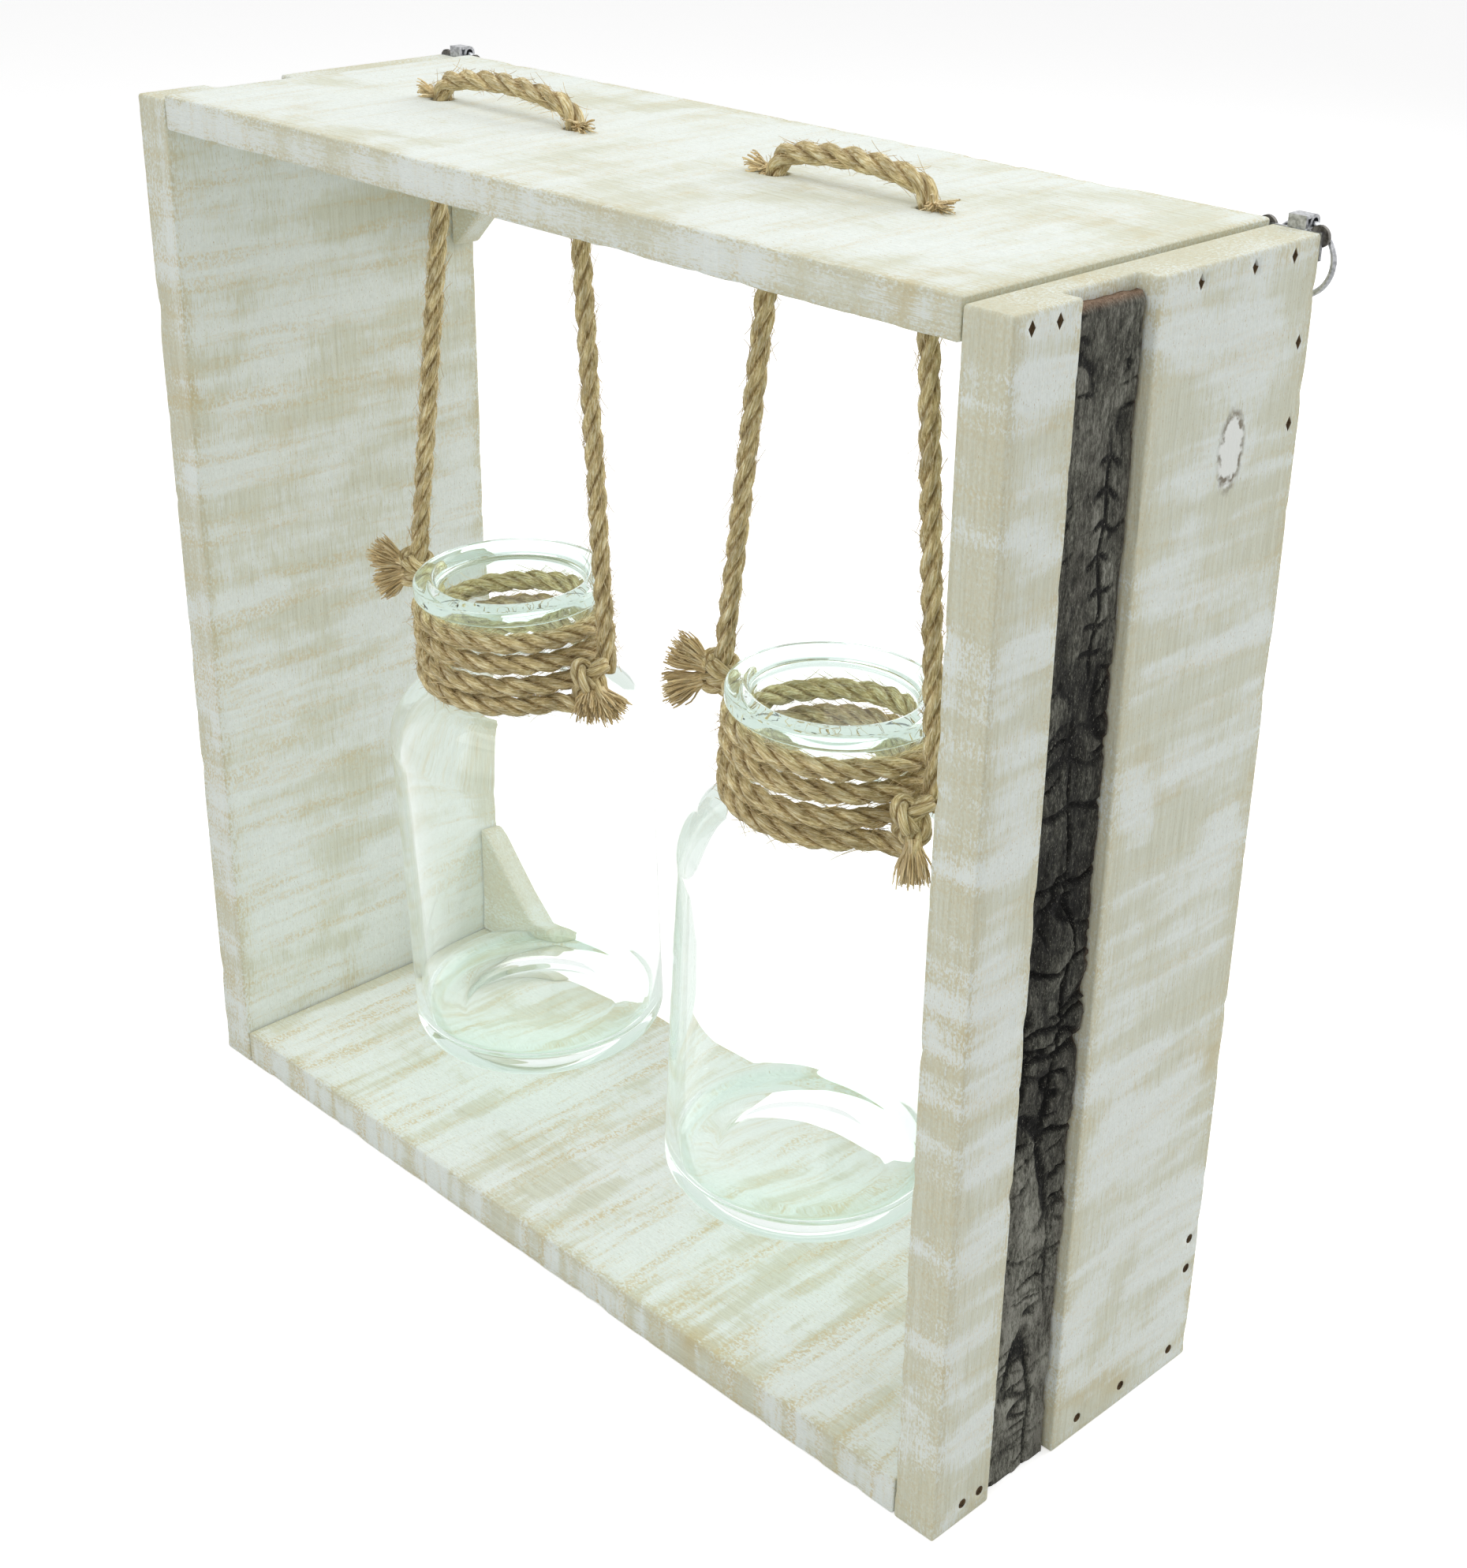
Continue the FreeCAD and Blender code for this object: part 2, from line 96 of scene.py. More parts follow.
def route_line(name, points, step):
    """Points at even steps along the smooth line that a cord's route points give."""
    curve = bpy.data.curves.new(name, "CURVE")
    curve.dimensions = "3D"
    spline = curve.splines.new("NURBS")
    spline.points.add(len(points) - 1)
    for control, point in zip(spline.points, points):
        control.co = (*point, 1.0)
    spline.order_u = 3
    spline.use_endpoint_u = True
    spline.resolution_u = 8
    holder = bpy.data.objects.new(name, curve)
    mesh = bpy.data.meshes.new_from_object(holder)
    fine = [v.co.copy() for v in mesh.vertices]
    bpy.data.objects.remove(holder)
    bpy.data.curves.remove(curve)
    bpy.data.meshes.remove(mesh)
    reach = [0.0]
    for a, b in zip(fine, fine[1:]):
        reach.append(reach[-1] + (b - a).length)
    count = max(2, round(reach[-1] / step))
    line = []
    i = 0
    for k in range(count + 1):
        want = reach[-1] * k / count
        while i < len(fine) - 2 and reach[i + 1] < want:
            i += 1
        span = max(reach[i + 1] - reach[i], 1e-9)
        line.append(fine[i].lerp(fine[i + 1], (want - reach[i]) / span))
    return line


def frames_along(line):
    """(point, direction, side, other side) along a line, carried on without turning about it."""
    result = []
    side = None
    for i, point in enumerate(line):
        ahead = (line[min(i + 1, len(line) - 1)] - line[max(i - 1, 0)]).normalized()
        if side is None:
            side = ahead.orthogonal().normalized()
        side = (side - ahead * side.dot(ahead)).normalized()
        result.append((point, ahead, side, ahead.cross(side)))
    return result


def add_piece(name, mesh, material):
    """New object in the scene, with one material."""
    piece = bpy.data.objects.new(name, mesh)
    mesh.materials.append(material)
    bpy.context.scene.collection.objects.link(piece)
    return piece


def smooth(mesh):
    """Shades all faces smooth."""
    mesh.polygons.foreach_set("use_smooth", [True] * len(mesh.polygons))
    mesh.update()


def tube_faces(rings, ring, base=0):
    """Faces from each ring of points to the next."""
    faces = []
    for low in range(base, base + (rings - 1) * ring, ring):
        high = low + ring
        for j in range(ring):
            k = (j + 1) % ring
            faces.append((low + j, low + k, high + k, high + j))
    return faces


def end_faces(rings, ring):
    """Faces that close the first ring and the last."""
    return [tuple(range(ring - 1, -1, -1)), tuple(range((rings - 1) * ring, rings * ring))]


def rope_mesh(name, line, diameter, pitch=4.3, seed=0.0, taper=(1.0, 1.0)):
    """Three-strand rope laid along a line. The attribute straight holds each vertex where it would lie in
    the rope pulled straight, and groove runs from 0 on a strand's back to 1 between strands."""
    per_strand = 9
    strand_r = 0.53 * diameter / 2
    offset = diameter / 2 - strand_r
    valley = offset * 0.5 + math.sqrt(strand_r**2 - (offset * math.sin(math.pi / 3)) ** 2)
    section = []
    for strand in range(3):
        for j in range(per_strand):
            off = (j / per_strand - 0.5) * math.tau / 3
            radius = offset * math.cos(off) + math.sqrt(strand_r**2 - (offset * math.sin(off)) ** 2)
            groove = (diameter / 2 - radius) / (diameter / 2 - valley)
            section.append((strand, strand * math.tau / 3 + off, radius, groove))
    verts, straight, grooves = [], [], []
    run = 0.0
    along = frames_along(line)
    for i, (point, ahead, side, other) in enumerate(along):
        if i:
            run += (point - along[i - 1][0]).length
        turn = math.tau * run / (pitch * diameter)
        share = i / (len(along) - 1)
        grow = taper[0] + (taper[1] - taper[0]) * share
        for strand, angle, radius, groove in section:
            swell = noise.noise((run * 90.0 + seed, strand * 7.3, seed)) * 0.09
            swell += noise.noise((run * 700.0, angle * 2.5, seed + strand)) * 0.05
            r = radius * grow * (1.0 + swell * (1.0 - groove))
            verts.append(point + (side * math.cos(angle + turn) + other * math.sin(angle + turn)) * r)
            lie = angle + 0.75 * turn
            straight.append((run + seed, radius * math.cos(lie), radius * math.sin(lie)))
            grooves.append(groove)
    ring = len(section)
    faces = tube_faces(len(along), ring) + end_faces(len(along), ring)
    mesh = bpy.data.meshes.new(name)
    mesh.from_pydata(verts, [], faces)
    mesh.attributes.new("straight", "FLOAT_VECTOR", "POINT").data.foreach_set("vector", sum(straight, ()))
    mesh.attributes.new("groove", "FLOAT", "POINT").data.foreach_set("value", grooves)
    smooth(mesh)
    return mesh


def set_inputs(tree, node, values):
    """Sets a node's inputs, by name or as i and a number. A node, or a node and its output, is a link."""
    for key, value in values.items():
        socket = node.inputs[int(key[1:])] if key[0] == "i" and key[1:].isdigit() else node.inputs[key]
        if isinstance(value, bpy.types.Node):
            value = (value, 0)
        if isinstance(value, tuple) and isinstance(value[0], bpy.types.Node):
            tree.links.new(value[0].outputs[value[1]], socket)
        else:
            socket.default_value = value


def add_node(tree, kind, **values):
    """A shader node with its properties and inputs set."""
    node = tree.nodes.new(kind)
    inputs = {}
    for key, value in values.items():
        if hasattr(node, key) and key not in ("Color", "Vector"):
            setattr(node, key, value)
        else:
            inputs[key] = value
    set_inputs(tree, node, inputs)
    return node


def mix(tree, share, first, second, blend="MIX"):
    """Mixed colour, as a node and its output."""
    node = add_node(tree, "ShaderNodeMix", data_type="RGBA", blend_type=blend, i0=share, i6=first, i7=second)
    return node, 2


def ramp(tree, source, stops, socket=0):
    """Colour ramp through (position, colour) stops."""
    node = tree.nodes.new("ShaderNodeValToRGB")
    tree.links.new(source.outputs[socket], node.inputs["Fac"])
    elements = node.color_ramp.elements
    while len(elements) < len(stops):
        elements.new(0.5)
    for element, (position, colour) in zip(elements, stops):
        element.position = position
        element.color = (*colour, 1.0)
    return node


def grey(value):
    """Neutral colour."""
    return (value, value, value)


def new_material(name):
    """Material, its node tree and its Principled shader."""
    material = bpy.data.materials.new(name)
    material.use_nodes = True
    tree = material.node_tree
    return material, tree, tree.nodes["Principled BSDF"]


jute, tree, shader = new_material("jute")
place = add_node(tree, "ShaderNodeAttribute", attribute_name="straight")
stretch = add_node(tree, "ShaderNodeMapping", Vector=(place, "Vector"), Scale=(160.0, 2000.0, 2000.0))
fibre = add_node(tree, "ShaderNodeTexNoise", Vector=stretch, Scale=1.0, Detail=4.0, Roughness=0.6)
slow = add_node(tree, "ShaderNodeMapping", Vector=(place, "Vector"), Scale=(120.0, 350.0, 350.0))
patch = add_node(tree, "ShaderNodeTexNoise", Vector=slow, Scale=1.0, Detail=2.0)
hue = ramp(tree, fibre, [(0.30, (0.34, 0.245, 0.10)), (0.5, (0.74, 0.61, 0.325)), (0.67, (1.0, 0.95, 0.72))])
hue.name = "fibre hue"
tone = ramp(tree, patch, [(0.3, (0.62, 0.59, 0.54)), (0.7, (1.18, 1.17, 1.12))])
groove = add_node(tree, "ShaderNodeAttribute", attribute_name="groove")
shade = ramp(tree, groove, [(0.45, grey(1.0)), (1.0, (0.50, 0.41, 0.30))], "Fac")
colour = mix(tree, 1.0, mix(tree, 1.0, hue, tone, "MULTIPLY"), shade, "MULTIPLY")
bump = add_node(tree, "ShaderNodeBump", Strength=1.0, Distance=0.0006, Height=fibre)
set_inputs(tree, shader, {"Base Color": colour, "Normal": bump, "Roughness": 0.9, "Specular IOR Level": 0.15,
                          "Sheen Weight": 0.15})
frayed = jute.copy()
frayed.name = "frayed jute"
for stop, colour in zip(frayed.node_tree.nodes["fibre hue"].color_ramp.elements,
                        ((0.60, 0.44, 0.21, 1.0), (0.84, 0.68, 0.39, 1.0), (0.98, 0.88, 0.62, 1.0))):
    stop.color = colour

suspensions = {}
for side, jar in JARS.items():
    left_x, right_x = jar["holes"]
    middle = (left_x + right_x) / 2
    start_foot, end_foot = (knot_places(side, place)[1] for place in jar["knots"])
    level = math.pi / 2 - BOW_TURN
    half = middle - left_x - BOW_R * (1 - math.cos(BOW_TURN))
    crown = SPRING_Z + BOW_R * math.sin(BOW_TURN) + half * math.tan(level / 2)
    crown_r = half / math.sin(level)
    bend = []
    for k in range(1, 6):
        turn = BOW_TURN * k / 5
        bend.append((BOW_R * (1 - math.cos(turn)), SPRING_Z + BOW_R * math.sin(turn)))
    points = [start_foot.lerp(Vector((left_x, HOLE_Y, PIVOT_Z)), k / 8) for k in range(9)]
    points += [Vector((left_x, HOLE_Y, z)) for z in IN_HOLE_Z]
    points += [Vector((left_x + x, HOLE_Y, z)) for x, z in bend]
    for k in range(-4, 5):
        turn = level * k / 5
        crown_z = crown - crown_r * (1 - math.cos(turn))
        points.append(Vector((middle + crown_r * math.sin(turn), HOLE_Y, crown_z)))
    points += [Vector((right_x - x, HOLE_Y, z)) for x, z in reversed(bend)]
    points += [Vector((right_x, HOLE_Y, z)) for z in reversed(IN_HOLE_Z)]
    points += [Vector((right_x, HOLE_Y, PIVOT_Z)).lerp(end_foot, k / 8) for k in range(9)]
    name = side + "_suspension_rope"
    line = route_line(name, points, STEP)
    rope = add_piece(name, rope_mesh(name, line, ROPE_D, seed=left_x * 10), jute)
    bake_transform(rope)
    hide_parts(side + "_rope_loop", side + "_outer_rope_leg", side + "_inner_rope_leg")
    suspensions[side] = (rope, line)

# Neck windings: three and a half turns of the same jute rope round each jar's neck, under the lip, with both
# ends turned out into the knots. It holds the jar by friction and by the lip above it.
WIND_R = 0.0336
COIL_R = WIND_R * 1.002
TOP_DEPTH = 0.0083
DROPS = (0.0073, 0.0094, 0.0073, 0.0073)
END_R, END_RUN, END_TURN = 0.010, 0.008, math.pi / 4
COIL_POINTS = 126


def coil_point(first, last, share):
    """Place on the winding, from 0 at its upper end to 1 at its lower end."""
    quarters = 14 * share
    turn = min(int(quarters // 4), 3)
    depth = TOP_DEPTH + sum(DROPS[:turn]) + DROPS[turn] * (quarters - 4 * turn) / 4
    angle = first + (last - first) * share
    return Vector((COIL_R * math.cos(angle), COIL_R * math.sin(angle), -depth))


def turned_out(here, sense):
    """The winding's end, bent outward from its last place and then straight."""
    outward = Vector((here.x, here.y, 0)).normalized()
    onward = Vector((-outward.y, outward.x, 0)) * sense
    bend = []
    for k in range(1, 5):
        turn = END_TURN * k / 4
        bend.append(here + outward * (END_R * (1 - math.cos(turn))) + onward * (END_R * math.sin(turn)))
    heading = (outward + onward).normalized()
    return bend + [bend[-1] + heading * END_RUN * k / 3 for k in (1, 2, 3)]


end_angle = math.atan2(END_R * math.sin(END_TURN) + END_RUN * math.cos(END_TURN),
                       WIND_R + END_R * (1 - math.cos(END_TURN)) + END_RUN * math.sin(END_TURN))
windings = {}
for side, jar in JARS.items():
    upper, lower = sorted((tied[0] for tied in jar["knots"].values()), reverse=True)
    first = math.radians(upper) + end_angle
    last = math.radians(lower) - end_angle + 4 * math.tau
    coil = [coil_point(first, last, k / COIL_POINTS) for k in range(COIL_POINTS + 1)]
    points = turned_out(coil[0], -1)[::-1] + coil + turned_out(coil[-1], 1)
    name = side + "_winding"
    line = route_line(name, [jar["lean"] @ p for p in points], STEP)
    rope = add_piece(name, rope_mesh(name, line, 0.0076, pitch=3.6, seed=upper), jute)
    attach(rope, side + "_jar")
    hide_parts(side + "_neck_winding")
    windings[side] = (rope, line)

# Knots: where a winding and a leg meet, the rope end is wrapped twice round the leg, or tied in an overhand
# knot at the front, and pulled tight. The cut tails are frayed into tufts. Loose fibres stand off the rope.
def fibre_mesh(name, fibres):
    """Thin three-sided fibres, each given as its points and its thickness at the root."""
    verts, faces, straight = [], [], []
    for number, (points, radius) in enumerate(fibres):
        run = number * 0.37
        base = len(verts)
        along = frames_along(points)
        for i, (point, ahead, side, other) in enumerate(along):
            if i:
                run += (point - points[i - 1]).length
            thin = radius * (1.0 - 0.45 * i / (len(along) - 1))
            for j in range(3):
                angle = math.tau * j / 3
                verts.append(point + (side * math.cos(angle) + other * math.sin(angle)) * thin)
                straight.append((run, number * 0.0011, radius))
        faces += tube_faces(len(along), 3, base)
    mesh = bpy.data.meshes.new(name)
    mesh.from_pydata(verts, [], faces)
    mesh.attributes.new("straight", "FLOAT_VECTOR", "POINT").data.foreach_set("vector", sum(straight, ()))
    mesh.attributes.new("groove", "FLOAT", "POINT")
    smooth(mesh)
    return mesh


def tuft_fibres(rng, root, heading, length, root_r, end_r, count):
    """Frayed rope end: fibres that spread from root along heading."""
    heading = Vector(heading).normalized()
    side = heading.orthogonal().normalized()
    other = heading.cross(side)
    fibres = []
    for _ in range(count):
        angle = rng.uniform(0, math.tau)
        share = math.sqrt(rng.random())
        out = side * math.cos(angle) + other * math.sin(angle)
        reach = length * rng.uniform(0.78, 1.04)
        curl = Vector([rng.uniform(-1, 1) for _ in range(3)]) * 0.0030
        points = []
        for k in range(6):
            t = k / 5
            spread = root_r * share + (end_r - root_r) * share * t**1.5
            points.append(root + heading * (reach * t) + out * spread + curl * math.sin(t * 2.4) * t)
        fibres.append((points, rng.uniform(0.00022, 0.00058)))
    return fibres


def loose_fibres(rng, line, count, longest):
    """Hairs that leave a rope at a flat angle and bend away from it."""
    along = frames_along(line)
    fibres = []
    for _ in range(count):
        i = rng.randrange(3, len(along) - 3)
        point, ahead, side, other = along[i]
        angle = rng.uniform(0, math.tau)
        out = side * math.cos(angle) + other * math.sin(angle)
        reach = (0.25 + 0.75 * rng.random() ** 2) * longest * rng.choice((-1, 1))
        lift = rng.uniform(0.05, 0.5)
        curl = Vector([rng.uniform(-1, 1) for _ in range(3)]) * 0.0012
        points = []
        for k in range(6):
            t = k / 5
            away = out * (0.0030 + abs(reach) * lift * t**1.4)
            points.append(point + away + ahead * (reach * t) + curl * t * t)
        fibres.append((points, rng.uniform(0.00009, 0.00016)))
    return fibres


TAILS = {
    "left_outer": (((-0.75, -0.6, 0.45), 0.015), ((-0.7, -0.65, -0.5), 0.015)),
    "left_inner": (((0.5, -0.5, -0.55), 0.013), ((0.75, 0.1, -0.55), 0.014)),
    "right_inner": (((-0.7, -0.6, 0.5), 0.016), ((-0.7, -0.7, -0.4), 0.016)),
    "right_outer": (((0.35, -0.3, -1.0), 0.018),),
}
OVERHAND = ("left_inner", "right_outer")
KNOT_ROPE_D = 0.0062
UP = Vector((0, 0, 1))
rng = random.Random(41)
cord_pieces = {side: [] for side in JARS}
for name, tails in TAILS.items():
    side, place = name.split("_")
    centre = knot_places(side, place)[0]
    outward = Vector((centre.x, centre.y, 0)) - Vector((*JARS[side]["lean"].translation.xy, 0))
    outward.normalize()
    aside = UP.cross(outward)
    wrap = []
    for k in range(37):
        t = math.tau * k / 36 + 0.6
        if name in OVERHAND:
            flat = aside * (math.sin(t) + 2 * math.sin(2 * t))
            flat += Vector((0, 0, 1.15)) * (math.cos(t) - 2 * math.cos(2 * t))
            wrap.append(centre + flat * 0.0021 - outward * (0.0030 * math.sin(3 * t)))
        else:
            around = outward * math.cos(2 * t) + aside * math.sin(2 * t)
            wrap.append(centre + around * 0.0042 + UP * (0.0045 * math.cos(t)))
    parts = [rope_mesh(name, route_line(name, wrap, STEP), KNOT_ROPE_D, pitch=3.6, seed=len(name))]
    tufts = []
    for heading, length in tails:
        heading = Vector(heading).normalized()
        bend = Vector([rng.uniform(-1, 1) for _ in range(3)]) * 0.001
        stub = [centre + heading * (length * 0.12 * k) + bend * math.sin(k / 3) for k in range(9)]
        stub_line = route_line(name, stub, STEP)
        parts.append(rope_mesh(name, stub_line, KNOT_ROPE_D, seed=length * 90, taper=(0.85, 1.2)))
        tufts += tuft_fibres(rng, stub[3], heading, length * 0.78, 0.0026, 0.0052, 240)
    shape = bmesh.new()
    for part in parts:
        shape.from_mesh(part)
        bpy.data.meshes.remove(part)
    mesh = bpy.data.meshes.new(name + "_knot")
    shape.to_mesh(mesh)
    shape.free()
    smooth(mesh)
    knot = add_piece(name + "_knot_wrap", mesh, jute)
    fray = add_piece(name + "_knot_tufts", fibre_mesh(name + "_tufts", tufts), frayed)
    for piece in (knot, fray):
        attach(piece, side + "_jar")
        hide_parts(name + "_knot")
        cord_pieces[side].append(piece)
for side, jar in JARS.items():
    rope, line = suspensions[side]
    hairs = loose_fibres(rng, line, 1500, 0.0075)
    middle = sum(jar["holes"]) / 2
    for x in jar["holes"]:
        outward = -1 if x < middle else 1
        root = Vector((x + outward * 0.003, HOLE_Y - 0.0005, 0.3992))
        hairs += tuft_fibres(rng, root, (outward, -0.25, 0.06), 0.0075, 0.0012, 0.0026, 26)
        hairs += tuft_fibres(rng, root, (0.2 * outward, -0.9, 0.02), 0.0045, 0.0015, 0.003, 12)
    name = side + "_rope_hairs"
    piece = add_piece(name, fibre_mesh(name, hairs), frayed)
    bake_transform(piece)
    cord_pieces[side].append(piece)
    wound, wound_line = windings[side]
    name = side + "_winding_hairs"
    hair = add_piece(name, fibre_mesh(name, loose_fibres(rng, wound_line, 2600, 0.009)), frayed)
    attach(hair, side + "_jar")

# Boards: rough-sawn softwood planks, brushed with a thin white wash that is rubbed back to the wood on ridges
# and arrises. The top and bottom boards stand between the side boards and are nailed through them. The side
# boards have a groove down their outer faces.
WEAR_REACH = 0.0035
WAVE = 0.00018


def rounded_outline(corners, radius, step):
    """Closed outline through corners, each rounded; every point comes with its wear, 1 on an arris."""
    corners = [Vector(c) for c in corners]
    result = []
    for i, corner in enumerate(corners):
        after = corners[(i + 1) % len(corners)]
        start = corner + (corners[i - 1] - corner).normalized() * radius
        end = corner + (after - corner).normalized() * radius
        for k in range(5):
            t = k / 4
            result.append((start.lerp(corner, t).lerp(corner.lerp(end, t), t), 1.0))
        following = after + (corner - after).normalized() * radius
        run = (following - end).length
        count = max(1, round(run / step))
        for k in range(1, count):
            gone = run * k / count
            result.append((end.lerp(following, k / count), math.exp(-min(gone, run - gone) / WEAR_REACH)))
    return result


def plank(name, corners, span, put, seed, radius=0.0012, step=0.003, chip=0.0012, raw_x=0.0):
    """Plank with a rounded outline, swept over span; put turns outline and sweep coordinates into a place.
    Its arrises are worn and chipped, its faces are slightly wavy, and a groove short of raw_x is bare."""
    area = sum(a[0] * b[1] - b[0] * a[1] for a, b in zip(corners, corners[1:] + corners[:1]))
    outline = rounded_outline(corners if area > 0 else corners[::-1], radius, step)
    ring = len(outline)
    normals = []
    for i in range(ring):
        along = outline[(i + 1) % ring][0] - outline[i - 1][0]
        normals.append(Vector((along.y, -along.x)).normalized())
    low, high = span
    count = round((high - low) / step)
    stations = [(low, 0.55 * radius), (low + 0.35 * radius, 0.2 * radius), (low + radius, 0.0)]
    stations += [(low + radius + (high - low - 2 * radius) * k / count, 0.0) for k in range(1, count)]
    stations += [(high - radius, 0.0), (high - 0.35 * radius, 0.2 * radius), (high, 0.55 * radius)]
    verts, wears = [], []
    for where, inset in stations:
        end = math.exp(-min(where - low, high - where) / WEAR_REACH)
        for (point, wear), normal in zip(outline, normals):
            spot = Vector((point.x, point.y, where))
            notch = noise.noise(spot * 70.0 + Vector((seed, 0, 0)))
            notch += 0.5 * noise.noise(spot * 190.0 + Vector((0, seed, 0)))
            dig = max(0.0, notch - 0.15) * chip * wear * wear * (1.0 - end)
            wave = WAVE * noise.noise(spot * 22.0 + Vector((0, 0, seed)))
            moved = point - normal * (inset + dig + WAVE - wave)
            verts.append(put(moved.x, moved.y, where))
            raw = 0.9 if 0.19 < point.x < raw_x else 0.0
            wears.append(max(wear, end, raw))
    faces = tube_faces(len(stations), ring) + end_faces(len(stations), ring)
    mesh = bpy.data.meshes.new(name)
    mesh.from_pydata(verts, [], faces)
    mesh.attributes.new("wear", "FLOAT", "POINT").data.foreach_set("value", wears)
    shape = bmesh.new()
    shape.from_mesh(mesh)
    if shape.calc_volume(signed=True) < 0:
        bmesh.ops.reverse_faces(shape, faces=shape.faces)
    for face in shape.faces:
        face.smooth = len(face.verts) == 4
    ends = [face for face in shape.faces if len(face.verts) > 4]
    bmesh.ops.triangulate(shape, faces=ends, ngon_method="EAR_CLIP")
    shape.to_mesh(mesh)
    shape.free()
    return mesh


def carve(piece, cutters):
    """Cuts round or four-sided holes into a piece: (middle, direction, radius, length, sides, flatness)."""
    shape = bmesh.new()
    for middle, direction, radius, length, sides, flat in cutters:
        turn = Vector(direction).to_track_quat("Z", "Y").to_matrix().to_4x4()
        place = Matrix.Translation(middle) @ turn @ Matrix.Diagonal((flat, 1.0, 1.0, 1.0))
        bmesh.ops.create_cone(shape, cap_ends=True, segments=sides, radius1=radius * 0.8, radius2=radius,
                              depth=length, matrix=place)
    mesh = bpy.data.meshes.new("cutter")
    shape.to_mesh(mesh)
    shape.free()
    cutter = bpy.data.objects.new("cutter", mesh)
    bpy.context.scene.collection.objects.link(cutter)
    modifier = piece.modifiers.new("cut", "BOOLEAN")
    modifier.object = cutter
    modifier.operation = "DIFFERENCE"
    modifier.solver = "FAST"
    depsgraph = bpy.context.evaluated_depsgraph_get()
    cut = bpy.data.meshes.new_from_object(piece.evaluated_get(depsgraph))
    piece.modifiers.clear()
    piece.data = cut
    bpy.data.objects.remove(cutter)


def stretched_noise(tree, source, scale, turn=(0, 0, 0), detail=4.0, rough=0.6, warp=0.0):
    """Noise with its own scale along each axis."""
    mapping = add_node(tree, "ShaderNodeMapping", Vector=source, Scale=scale, Rotation=turn)
    return add_node(tree, "ShaderNodeTexNoise", Vector=mapping, Scale=1.0, Detail=detail, Roughness=rough,
                    Distortion=warp)


def maths(tree, operation, a, b, clamp=False):
    """Maths node on two values or links."""
    return add_node(tree, "ShaderNodeMath", operation=operation, use_clamp=clamp, i0=a, i1=b)


def plus(tree, total, part, share):
    """A total with a share of one more part."""
    return maths(tree, "ADD", total, maths(tree, "MULTIPLY", part, share))


wash_group = bpy.data.node_groups.new("whitewash", "ShaderNodeTree")
for in_out, kind, sockets in (
    ("INPUT", "NodeSocketVector", ("Place",)),
    ("INPUT", "NodeSocketFloat", ("Wear", "Bare", "Saw", "Streak")),
    ("OUTPUT", "NodeSocketColor", ("Color",)),
    ("OUTPUT", "NodeSocketFloat", ("Height", "Roughness")),
):
    for socket in sockets:
        wash_group.interface.new_socket(socket, in_out=in_out, socket_type=kind)
tree = wash_group
given = tree.nodes.new("NodeGroupInput")
place = (given, "Place")
grain = stretched_noise(tree, place, (34.0, 1000.0, 1000.0))
fur = stretched_noise(tree, place, (190.0, 2600.0, 2600.0), turn=(0, 0, 0.2), detail=3.0)
band = stretched_noise(tree, place, (75.0, 8.0, 8.0), turn=(0, 0, 0.14), detail=3.0, rough=0.55)
broad = stretched_noise(tree, place, (17.0, 24.0, 24.0), rough=0.55, warp=0.5)
speck = stretched_noise(tree, place, (800.0, 1100.0, 1100.0), detail=3.0)
ochre = stretched_noise(tree, place, (30.0, 20.0, 20.0), turn=(0, 0, 0.3))
specks = ramp(tree, speck, [(0.35, grey(0.0)), (0.6, grey(1.0))])
worn = maths(tree, "MULTIPLY", (given, "Wear"), specks)
total = maths(tree, "MULTIPLY", maths(tree, "SUBTRACT", band, 0.5), (given, "Saw"))
total = plus(tree, total, maths(tree, "SUBTRACT", broad, 0.5), 0.6)
total = plus(tree, total, maths(tree, "SUBTRACT", fur, 0.5), 0.45)
total = plus(tree, total, worn, 0.14)
# The bare input sets how much wood shows through the wash; the boards' values for it are partly painted
# light.
total = maths(tree, "ADD", total, (given, "Bare"))
thin = ramp(tree, maths(tree, "ADD", total, 0.5), [(0.46, grey(0.0)), (0.57, grey(1.0))])
bare = ramp(tree, grain, [(0.3, (0.62, 0.625, 0.49)), (0.5, (0.69, 0.705, 0.575)),
                          (0.7, (0.74, 0.765, 0.655))])
stain = ramp(tree, ochre, [(0.58, grey(0.0)), (0.74, grey(0.8))])
stain = maths(tree, "ADD", stain, maths(tree, "MULTIPLY", worn, 0.5), clamp=True)
bare = mix(tree, stain, bare, (0.63, 0.56, 0.35, 1.0))
wash = ramp(tree, speck, [(0.3, (0.785, 0.83, 0.775)), (0.6, (0.845, 0.89, 0.845))])
colour = mix(tree, thin, wash, bare)
streak = stretched_noise(tree, place, (170.0, 15.0, 15.0), turn=(0, 0, -0.12), detail=3.0)
streak = ramp(tree, streak, [(0.50, grey(0.0)), (0.64, grey(1.0))])
broken = ramp(tree, speck, [(0.44, grey(0.0)), (0.56, grey(1.0))])
streak = maths(tree, "MULTIPLY", maths(tree, "MULTIPLY", streak, broken), (given, "Streak"))
colour = mix(tree, streak, colour, (0.66, 0.57, 0.33, 1.0))
fine = ramp(tree, fur, [(0.3, grey(0.92)), (0.55, grey(1.0))])
colour = mix(tree, 1.0, colour, fine, "MULTIPLY")
fleck = stretched_noise(tree, place, (900.0, 2600.0, 2600.0), detail=2.0)
fleck = ramp(tree, fleck, [(0.64, grey(0.0)), (0.72, grey(0.7))])
colour = mix(tree, fleck, colour, (0.50, 0.39, 0.19, 1.0))
height = plus(tree, maths(tree, "MULTIPLY", fur, 0.6), grain, 0.4)
height = plus(tree, height, speck, 0.5)
height = maths(tree, "SUBTRACT", height, maths(tree, "MULTIPLY", thin, 0.25))
gloss = ramp(tree, thin, [(0.0, grey(0.86)), (1.0, grey(0.68))])
